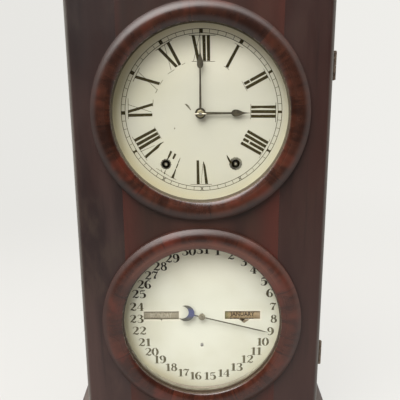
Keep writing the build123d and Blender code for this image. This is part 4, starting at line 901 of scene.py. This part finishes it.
# strokes by hour: points of x, radius and width in mm, x to the right of the hour's own radius
romanStrokes = {
    0: [[(-2.9, 55.6, 3.5), (-8.6, 82.2, 3.5)], [(-8.3, 55.2, 0.5), (-1.6, 82.2, 0.5)],
        [(3.6, 55.4, 3.3), (3, 82.2, 3.5)], [(8.1, 55.4, 3.3), (7.8, 82.2, 3.5)],
        [(-13, 82.2, 0.5), (15.6, 82.2, 0.6)], [(-10.4, 55, 0.5), (15, 54.7, 0.5)]],
    1: [[(-0.2, 55.8, 3.4), (-0.8, 81.8, 3.2)], [(-5.6, 82, 0.4), (4.6, 82, 0.4)],
        [(-3.8, 55.4, 0.5), (3.6, 55, 0.5)]],
    2: [[(-3.2, 56, 3.2), (-2.9, 62.6, 3.4)], [(-2.9, 63.4, 3.3), (-2.4, 82, 3.5)],
        [(1.8, 55.6, 3.5), (2.6, 82, 3.5)], [(-6.8, 82, 0.4), (9, 82, 0.5)],
        [(-7, 55.2, 0.4), (5.6, 54.8, 0.4)]],
    3: [[(-5.4, 54.9, 3.2), (-5.6, 66, 2.6), (-5.4, 82.3, 3.5)],
        [(-0.5, 54.9, 3.5), (-0.3, 82.3, 3.6)], [(4.6, 54.9, 3.4), (4.8, 82.3, 3.6)],
        [(-10.3, 82.1, 0.6), (11.4, 82.3, 0.6)], [(-9, 54.4, 0.4), (8.2, 54.4, 0.4)]],
    4: [[(-7.4, 54.9, 3.3), (-7.2, 81.4, 3.4)], [(-2.5, 54.7, 3.4), (-2.3, 81.6, 3.5)],
        [(2.5, 55.4, 3.3), (2.4, 62.4, 3.2)], [(2.5, 63.7, 3.2), (2.4, 81.8, 3.5)],
        [(7.6, 55.4, 3.4), (7.4, 81.2, 3.4)], [(-12, 81.6, 0.4), (12.6, 82, 0.4)]],
    5: [[(-0.3, 56, 0.7), (0, 60.4, 2.1), (0.1, 66.4, 2.4)]],
    6: [[(4.6, 53.9, 2.9), (4.3, 81.6, 3.4)],
        [(-1.7, 55.4, 0.7), (-2.9, 61.1, 2.5), (-5.4, 81.4, 3.4)],
        [(-1.1, 58.2, 0.4), (0.8, 80.9, 0.4)], [(-11.2, 81.9, 0.5), (13.2, 81.9, 0.4)]],
    7: [[(8.1, 54.6, 2.5), (7.6, 60.6, 2.3), (7.4, 65, 0.9)],
        [(2.6, 54.8, 2.5), (2.2, 61.4, 2.2)], [(-4.4, 56.4, 0.5), (-5.2, 62.4, 1.2)],
        [(-5.4, 63.2, 1.4), (-6.1, 69, 1.2)],
        [(-6.2, 69.8, 0.9), (-7, 74.3, 1.7), (-7.9, 81.2, 3.3)],
        [(8.2, 78.6, 0.8), (6.1, 80.6, 0.9)], [(3.3, 77.2, 0.7), (2.4, 81.6, 1.2)],
        [(13.6, 80.3, 0.4), (-4, 81, 0.4)], [(-4.6, 81.3, 0.6), (-12.6, 80.6, 0.5)]],
    8: [[(9.7, 53.8, 3.2), (10.8, 80.6, 3.5)], [(4.8, 53.9, 3.4), (5.6, 81, 3.5)],
        [(0.4, 53.9, 3.4), (0.3, 81.2, 3.5)],
        [(-6.9, 53.2, 0.5), (-6.9, 57.5, 1.7), (-8.3, 62.3, 3.5), (-9.6, 70.4, 2.9),
         (-11.4, 80.2, 3.4)],
        [(-5.2, 64.1, 0.4), (-3.2, 81.7, 0.5)], [(15.8, 80.8, 0.5), (-15.6, 80.6, 0.4)],
        [(13, 53.6, 0.4), (-2.6, 53.4, 0.4)]],
    9: [[(-2.3, 54.5, 3.2), (-2.7, 81.6, 3.5)], [(9.2, 53.9, 3), (1.2, 81.6, 3.2)],
        [(0.8, 55.4, 0.45), (9.2, 81.2, 0.45)], [(-6.7, 81.4, 0.5), (16, 80.8, 0.5)],
        [(6.6, 53.8, 0.4), (14.4, 53.2, 0.5)]],
    10: [[(4.4, 55.2, 3.3), (-2.1, 82.2, 3.3)], [(-2.5, 55.2, 0.5), (4.5, 82.4, 0.5)],
         [(-7.9, 81.8, 0.6), (8.5, 82.2, 0.6)], [(-6.5, 54.4, 0.6), (-1.6, 54.4, 0.5)],
         [(4, 54.4, 0.4), (9.7, 54.3, 0.5)]],
    11: [[(5.6, 55.8, 3.3), (6.6, 82.5, 3.5)], [(1.7, 56, 3.4), (-5.1, 82.4, 3.4)],
         [(-5.4, 56, 0.5), (2.1, 82.6, 0.5)], [(-9.4, 82.2, 0.6), (12, 82.9, 0.6)],
         [(-10.4, 54.5, 0.5), (-2, 54.8, 0.45)], [(7.6, 54.9, 0.4), (11.6, 54.9, 0.5)]],
}
# sizes in mm: each stroke lies a little higher than the one before
numeralPaint = {"paint": 0.05, "step": 0.004}


def addStroke(bm, points, thickness, place):
    # ends and joints stay level, and every width is measured across
    sides = [[(x + side * width / 2, y) for x, y, width in points] for side in (-1, 1)]
    if abs(points[-1][1] - points[0][1]) < abs(points[-1][0] - points[0][0]):
        sides = [[(x, y - side * width / 2) for x, y, width in points] for side in (-1, 1)]
    outline = sides[0] + sides[1][::-1]
    addSlab(bm, [(x * mm, y * mm) for x, y in outline], thickness, place)


def makeNumerals(strokes, shape):
    bm = bmesh.new()
    for hour, lines in strokes.items():
        place = dialPlace(paintedTime, timeFace, hour * 30)
        for number, points in enumerate(lines):
            addStroke(bm, points, (shape["paint"] + shape["step"] * number) * mm, place)
    finishPiece("time_numerals", bm, timeInk, "case")


makeNumerals(romanStrokes, numeralPaint)

# strokes in mm from the painted centre
chipStrokes = [
    [(-17.7, 9.5, 2.4), (-15.4, 7.4, 2.9), (-14.6, 6.2, 2.6)],
    [(-14.8, 6.6, 2.5), (-13.4, 4.6, 1.9), (-12.0, 2.6, 1.1)],
    [(-30.1, -18.4, 0.9), (-30.1, -17.4, 1.1), (-30.3, -16.6, 0.7)],
]
chipDepth = 0.04


def makeChips(strokes, depth):
    bm = bmesh.new()
    for points in strokes:
        addStroke(bm, points, depth * mm, dialPlace(paintedTime, timeFace))
    finishPiece("dial_chip", bm, chipPaint, "case")


makeChips(chipStrokes, chipDepth)
print("time dial painted")

# digits as strokes: x, y and half width in percent of the digit's height; "loop" closes a stroke
digitStrokes = {
    "0": [("loop", (28, 99, 2.5), (46, 75, 9.5), (46, 25, 9.5), (28, 1, 2.5), (10, 25, 9.5),
           (10, 75, 9.5))],
    "1": [("line", (27, 2, 10), (27, 98, 10)),
          ("line", (27, 96, 3), (6, 84, 2.5)),
          ("line", (6, 2, 2.5), (48, 2, 2.5))],
    "2": [("line", (14, 74, 10), (15, 76, 10)),
          ("line", (6, 78, 3), (14, 93, 3), (30, 98, 4), (46, 88, 9), (47, 68, 10), (34, 44, 6),
           (16, 22, 3.5), (7, 5, 3)),
          ("line", (7, 8, 5), (20, 15, 7), (36, 8, 9), (49, 10, 6), (56, 25, 2))],
    "3": [("line", (13, 77, 9), (14, 78, 9)),
          ("line", (7, 82, 3), (15, 95, 3), (29, 98, 3.5), (42, 90, 8), (43, 70, 9), (34, 56, 4),
           (20, 53, 2.5)),
          ("line", (20, 53, 2.5), (38, 50, 5), (48, 36, 10), (47, 15, 10), (32, 2, 3.5), (15, 4, 3),
           (6, 18, 3)),
          ("line", (13, 23, 10), (14, 24, 10))],
    "4": [("line", (40, 2, 9.5), (40, 98, 9.5)),
          ("line", (40, 97, 2.5), (3, 29, 2.5)),
          ("line", (2, 29, 2.5), (60, 29, 2.5)),
          ("line", (24, 2, 2.5), (56, 2, 2.5))],
    "5": [("line", (12, 86, 6), (24, 90, 8), (40, 90, 7), (52, 98, 2)),
          ("line", (11, 92, 2.5), (11, 50, 2.5)),
          ("line", (11, 51, 2.5), (25, 60, 3), (42, 54, 8), (49, 32, 11), (42, 10, 8), (27, 2, 3),
           (13, 5, 3), (6, 17, 3)),
          ("line", (13, 22, 10), (14, 23, 10))],
    "6": [("line", (44, 80, 8), (45, 81, 8)),
          ("line", (50, 86, 2.5), (42, 96, 3), (28, 95, 5), (12, 72, 10), (10, 36, 11), (18, 10, 8),
           (30, 2, 3), (44, 10, 7), (48, 30, 9), (42, 50, 6), (29, 57, 2.5), (17, 48, 2))],
    "7": [("line", (5, 72, 2.5), (7, 90, 4), (20, 92, 9), (36, 87, 9), (52, 96, 3)),
          ("line", (52, 97, 3), (40, 70, 3.5), (29, 45, 6), (25, 22, 9), (25, 10, 10))],
    "8": [("loop", (29, 98, 3), (42, 88, 7), (42, 68, 7), (29, 56, 5), (16, 68, 8), (16, 88, 7)),
          ("loop", (29, 57, 5), (45, 42, 9), (46, 16, 9), (29, 2, 3), (12, 16, 7), (12, 40, 6))],
    "9": [("line", (14, 20, 8), (13, 19, 8)),
          ("line", (8, 14, 2.5), (16, 4, 3), (30, 5, 5), (46, 28, 10), (48, 64, 11), (40, 90, 8),
           (28, 98, 3), (14, 90, 7), (10, 70, 9), (16, 50, 6), (29, 43, 2.5), (41, 52, 2))],
}
# sizes in mm, widen and thickness in shares of the height, and how far each date stands from its
# even place on the ring
digitShape = {
    "height": 10.6,
    "widen": 1.32,
    "advance": 8.8,
    "one": 6.9,
    "ring": 83.6,
    "shift": 2.2,
    "thickness": 0.006,
    "lift": 0.01,
    "moved": {
        1: (0, 1.3), 2: (0, 0.8), 3: (0.5, 0.8), 4: (-0.9, 1.8), 5: (1.7, 0), 6: (1.7, 0),
        7: (2.1, -1.7), 8: (2.3, -0.8), 9: (1.2, -0.8), 10: (-2.1, 0.8), 11: (-1.2, 2.3),
        12: (-0.5, 3.6), 13: (0.5, 2.3), 14: (0, 0.5), 15: (-0.7, 0), 16: (-1.8, 0.3), 17: (0, 1.3),
        18: (0, 2.3), 19: (0, 3.6), 20: (1.6, 2), 21: (1.9, 0.8), 22: (1.8, 0.8), 23: (1.8, 0),
        24: (1.6, -0.8), 25: (0.7, -0.5), 26: (0, -3.3), 27: (-1.2, -5.1), 28: (-3.5, -4.6),
        29: (-3.6, -2.6), 30: (0, 1.3), 31: (-0.6, 1.3),
    },
}


def meshOfCurve(curve):
    drawn = addObject(curve.name, curve)
    bpy.context.view_layer.update()
    drawing = drawn.evaluated_get(bpy.context.evaluated_depsgraph_get())
    mesh = bpy.data.meshes.new_from_object(drawing)
    bpy.data.objects.remove(drawn)
    bpy.data.curves.remove(curve)
    return mesh


def strokeMesh(name, strokes, thickness):
    curve = bpy.data.curves.new(name, "CURVE")
    curve.dimensions = "3D"
    curve.twist_mode = "Z_UP"
    curve.resolution_u = 3
    curve.bevel_depth = 1.0
    curve.bevel_resolution = 0
    curve.use_fill_caps = True
    for kind, *points in strokes:
        spline = curve.splines.new("BEZIER")
        spline.bezier_points.add(len(points) - 1)
        for point, (x, y, half) in zip(spline.bezier_points, points):
            point.co = (x / 100, y / 100, 0)
            point.radius = half / 100
            point.handle_left_type = point.handle_right_type = "AUTO"
        spline.use_cyclic_u = kind == "loop"
    mesh = meshOfCurve(curve)
    flat = max(abs(vert.co.z) for vert in mesh.vertices)
    mesh.transform(Matrix.Diagonal((1, 1, thickness / flat, 1)))
    return mesh


def stamp(bm, mesh, place):
    copy = mesh.copy()
    copy.transform(place)
    bm.from_mesh(copy)
    bpy.data.meshes.remove(copy)


def makeDates(shape):
    height = shape["height"] * mm
    meshes = {}
    for digit, strokes in digitStrokes.items():
        meshes[digit] = strokeMesh("digit_" + digit, strokes, shape["thickness"])
    face = dialPlace(calendarCentre, calendarFace, lift=shape["lift"] * mm)
    size = Matrix.Diagonal((height * shape["widen"], height, height, 1))
    bm = bmesh.new()
    for date in range(1, 32):
        turn = math.radians(date * 360 / 31)
        right, raised = shape["moved"][date]
        text = str(date)
        widths = [shape["one"] if digit == "1" else shape["advance"] for digit in text]
        left = shape["ring"] * math.sin(turn) + right - sum(widths) / 2 + shape["shift"]
        low = shape["ring"] * math.cos(turn) + raised - shape["height"] / 2
        for digit, width in zip(text, widths):
            stamp(bm, meshes[digit], face @ Matrix.Translation((left * mm, low * mm, 0)) @ size)
            left += width
    finishPiece("calendar_dates", bm, calendarInk, "case")
    for mesh in meshes.values():
        bpy.data.meshes.remove(mesh)


makeDates(digitShape)

settingShape = {"below": 0.04, "behind": 0.0025, "radius": 0.0024, "tip": 0.0019, "length": 0.003}


def makeSettingArbor(shape):
    # end of the setting arbor, seen through the small hole below the hub
    bm = bmesh.new()
    place = (calendarCentre.x, calendarFace + shape["behind"], calendarCentre.z - shape["below"])
    turned = Matrix.Translation(place) @ Matrix.Rotation(math.radians(90), 4, "X")
    bmesh.ops.create_cone(bm, cap_ends=True, segments=24, radius1=shape["radius"],
                          radius2=shape["tip"], depth=shape["length"], matrix=turned)
    finishPiece("setting_arbor_end", bm, brightSteel, "case", smoothAngle=40)


makeSettingArbor(settingShape)
print("calendar dial painted")

dayWords = ["MONDAY", "TUESDAY", "WEDNESDAY", "THURSDAY", "FRIDAY", "SATURDAY", "SUNDAY"]
monthWords = ["JANUARY", "FEBRUARY", "MARCH", "APRIL", "MAY", "JUNE", "JULY", "AUGUST", "SEPTEMBER",
              "OCTOBER", "NOVEMBER", "DECEMBER"]
# in metres, apart from extrude, bolder and thin; each word is cut at heights in shares of its own,
# so that it bends round the drum
dayShape = {"height": 0.0078, "width": 0.027, "extrude": 0.02, "bolder": 0.03, "thin": 0.001,
            "cuts": (-0.3, -0.1, 0.1, 0.3)}
monthShape = {**dayShape, "height": 0.0076, "width": 0.03}


def flatWord(word, shape):
    curve = bpy.data.curves.new(word, "FONT")
    curve.body = word
    curve.align_x = "CENTER"
    curve.align_y = "CENTER"
    curve.resolution_u = 2
    curve.extrude = shape["extrude"]
    curve.offset = shape["bolder"]
    mesh = meshOfCurve(curve)
    xs = [vert.co.x for vert in mesh.vertices]
    ys = [vert.co.y for vert in mesh.vertices]
    middle = Vector(((max(xs) + min(xs)) / 2, (max(ys) + min(ys)) / 2, 0))
    letters = bmesh.new()
    letters.from_mesh(mesh)
    bpy.data.meshes.remove(mesh)
    bmesh.ops.translate(letters, verts=letters.verts, vec=-middle)
    tall = shape["height"] / (max(ys) - min(ys))
    wide = min(shape["width"] / (max(xs) - min(xs)), tall)
    bmesh.ops.scale(letters, verts=letters.verts, vec=(wide, tall, shape["thin"]))
    for level in shape["cuts"]:
        everything = letters.verts[:] + letters.edges[:] + letters.faces[:]
        bmesh.ops.bisect_plane(letters, geom=everything, plane_co=(0, level * shape["height"], 0),
                               plane_no=(0, 1, 0), dist=1e-7)
    return letters


def makeWords(name, node, words, shape, finish, body):
    # the first word stands at the front of the drum, and each of the others above the one before
    low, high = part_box(node)
    drum = (low + high) / 2
    radius = (high.z - low.z) / 2
    bm = bmesh.new()
    for number, word in enumerate(words):
        letters = flatWord(word, shape)
        turn = number * 2 * math.pi / len(words)
        for vert in letters.verts:
            angle = turn + vert.co.y / radius
            out = radius + vert.co.z
            forward, up = -out * math.cos(angle), out * math.sin(angle)
            vert.co = drum + Vector((vert.co.x, forward, up))
        flat = pourMesh("word", letters)
        bm.from_mesh(flat)
        bpy.data.meshes.remove(flat)
    finishPiece(name, bm, finish, body)


makeWords("day_words", "day_roller", dayWords, dayShape, dayInk, "day_roller_set")
makeWords("month_words", "month_roller", monthWords, monthShape, monthInk, "month_roller_set")
print("drums printed")

# stage, light and camera
stageLook = {
    "floor": (196, 195, 192),
    "bounce": (134, 131, 126),
    "room": (74, 64, 56),
    "left": (231, 230, 226),
    "right": (239, 238, 234),
    "acrossSpan": (-0.4, 0.4),
    "nearest": 0.1,
    "cameraBack": 0.66,
    "floorRoom": (-0.5, -1.6),
    "skyRoom": (-0.3, -0.75),
    "plain": 0.78,
    "plainMore": 0.22,
    "plainSpan": (0.5, 1.6),
    "size": 40.0,
    "even": (1.0, 0.985, 0.96, 1.0),
    "ambient": 0.5,
}


def paleTone(tree, across, ahead, look):
    # the backdrop's tone from left to right
    depth = tree.maths("MAXIMUM", ahead, look["nearest"])
    return tree.mix(tree.ease(across / depth, *look["acrossSpan"]), look["left"], look["right"])


def makeFloor(look):
    # camera rays see a pale floor that keeps the shadow, and glossy rays see a dim room in front
    bm = bmesh.new()
    bmesh.ops.create_grid(bm, x_segments=4, y_segments=4, size=look["size"])
    floor = addObject("floor", pourMesh("floor", bm))
    paint = Finish("floor", {"Roughness": 0.9, "Specular IOR Level": 0.1}, look["floor"])
    rays = paint.named("LightPath")
    paint.lay(rays["Is Diffuse Ray"], look["bounce"])
    pale = paleTone(paint, paint.x, paint.y + look["cameraBack"], look)
    room = rays["Is Glossy Ray"] * paint.ease(paint.y, *look["floorRoom"])
    glow = paint.node("Emission", {}, {0: paint.mix(room, pale, look["room"])})[0]
    away = (paint.x * paint.x + paint.y * paint.y) ** 0.5
    plain = look["plain"] + look["plainMore"] * paint.ease(away, *look["plainSpan"])
    seen = (rays["Is Camera Ray"] + rays["Is Transmission Ray"]) * plain + rays["Is Glossy Ray"]
    lit = Wire(paint, paint.shader.outputs[0])
    paint.show(paint.node("MixShader", {}, {0: seen, 1: lit, 2: glow})[0])
    floor.data.materials.append(paint.material)


def makeWorld(look):
    # the same backdrop for what is seen, and an even light for the rest
    world = bpy.data.worlds.new("studio")
    world.use_nodes = True
    bpy.context.scene.world = world
    sky = Tree(world.node_tree)
    direction = sky.named("TexCoord")["Generated"]
    across, ahead = sky.node("SeparateXYZ", {}, {0: direction})[:2]
    rays = sky.named("LightPath")
    room = sky.ease(ahead, *look["skyRoom"]) * rays["Is Glossy Ray"]
    wall = sky.mix(room, paleTone(sky, across, ahead, look), look["room"])
    shown = sky.node("Background", {}, {0: wall, 1: 1.0})[0]
    even = sky.node("Background", {}, {0: look["even"], 1: look["ambient"]})[0]
    seen = rays["Is Camera Ray"] + rays["Is Glossy Ray"] + rays["Is Transmission Ray"]
    mixed = sky.node("MixShader", {}, {0: seen, 1: even, 2: shown})[0]
    output = [node for node in world.node_tree.nodes if node.type == "OUTPUT_WORLD"][0]
    sky.fill(output.inputs, {"Surface": mixed})


makeFloor(stageLook)
makeWorld(stageLook)

lampLooks = {
    "overhead": {
        "place": (0.05, -0.45, 1.72), "target": (0, -0.06, 0.35), "size": (2.0, 1.0),
        "power": 31, "colour": (1.0, 0.985, 0.97),
    },
    "front": {
        "place": (-0.8, -1.15, 1.98), "target": (0, -0.03, 0.35), "size": (2.2, 1.5),
        "power": 94, "colour": (1.0, 0.985, 0.965),
    },
}


def addLamp(name, look):
    data = bpy.data.lights.new(name, "AREA")
    data.shape = "RECTANGLE"
    data.size, data.size_y = look["size"]
    data.energy = look["power"]
    data.color = look["colour"]
    lamp = addObject(name, data)
    aim = (Vector(look["target"]) - Vector(look["place"])).to_track_quat("-Z", "Y")
    lamp.matrix_world = Matrix.Translation(look["place"]) @ aim.to_matrix().to_4x4()


for lampName, lampLook in lampLooks.items():
    addLamp(lampName, lampLook)

cameraShape = {
    "place": (0.0020, -0.6620, 0.5176),
    "lens": 51.345,
    "sensor": 36.0,
    "nearest": 0.01,
    "pitch": 14.94,
    "yaw": 0.29,
    "roll": -0.43,
}


def addCamera(shape):
    data = bpy.data.cameras.new("camera")
    data.lens = shape["lens"]
    data.sensor_width = shape["sensor"]
    data.clip_start = shape["nearest"]
    camera = addObject("camera", data)
    camera.matrix_world = (
        Matrix.Translation(shape["place"])
        @ Matrix.Rotation(math.radians(shape["yaw"]), 4, "Z")
        @ Matrix.Rotation(math.radians(90 - shape["pitch"]), 4, "X")
        @ Matrix.Rotation(math.radians(shape["roll"]), 4, "Z")
    )
    bpy.context.scene.camera = camera


addCamera(cameraShape)
bpy.context.scene.view_settings.view_transform = "Standard"
print("stage set")
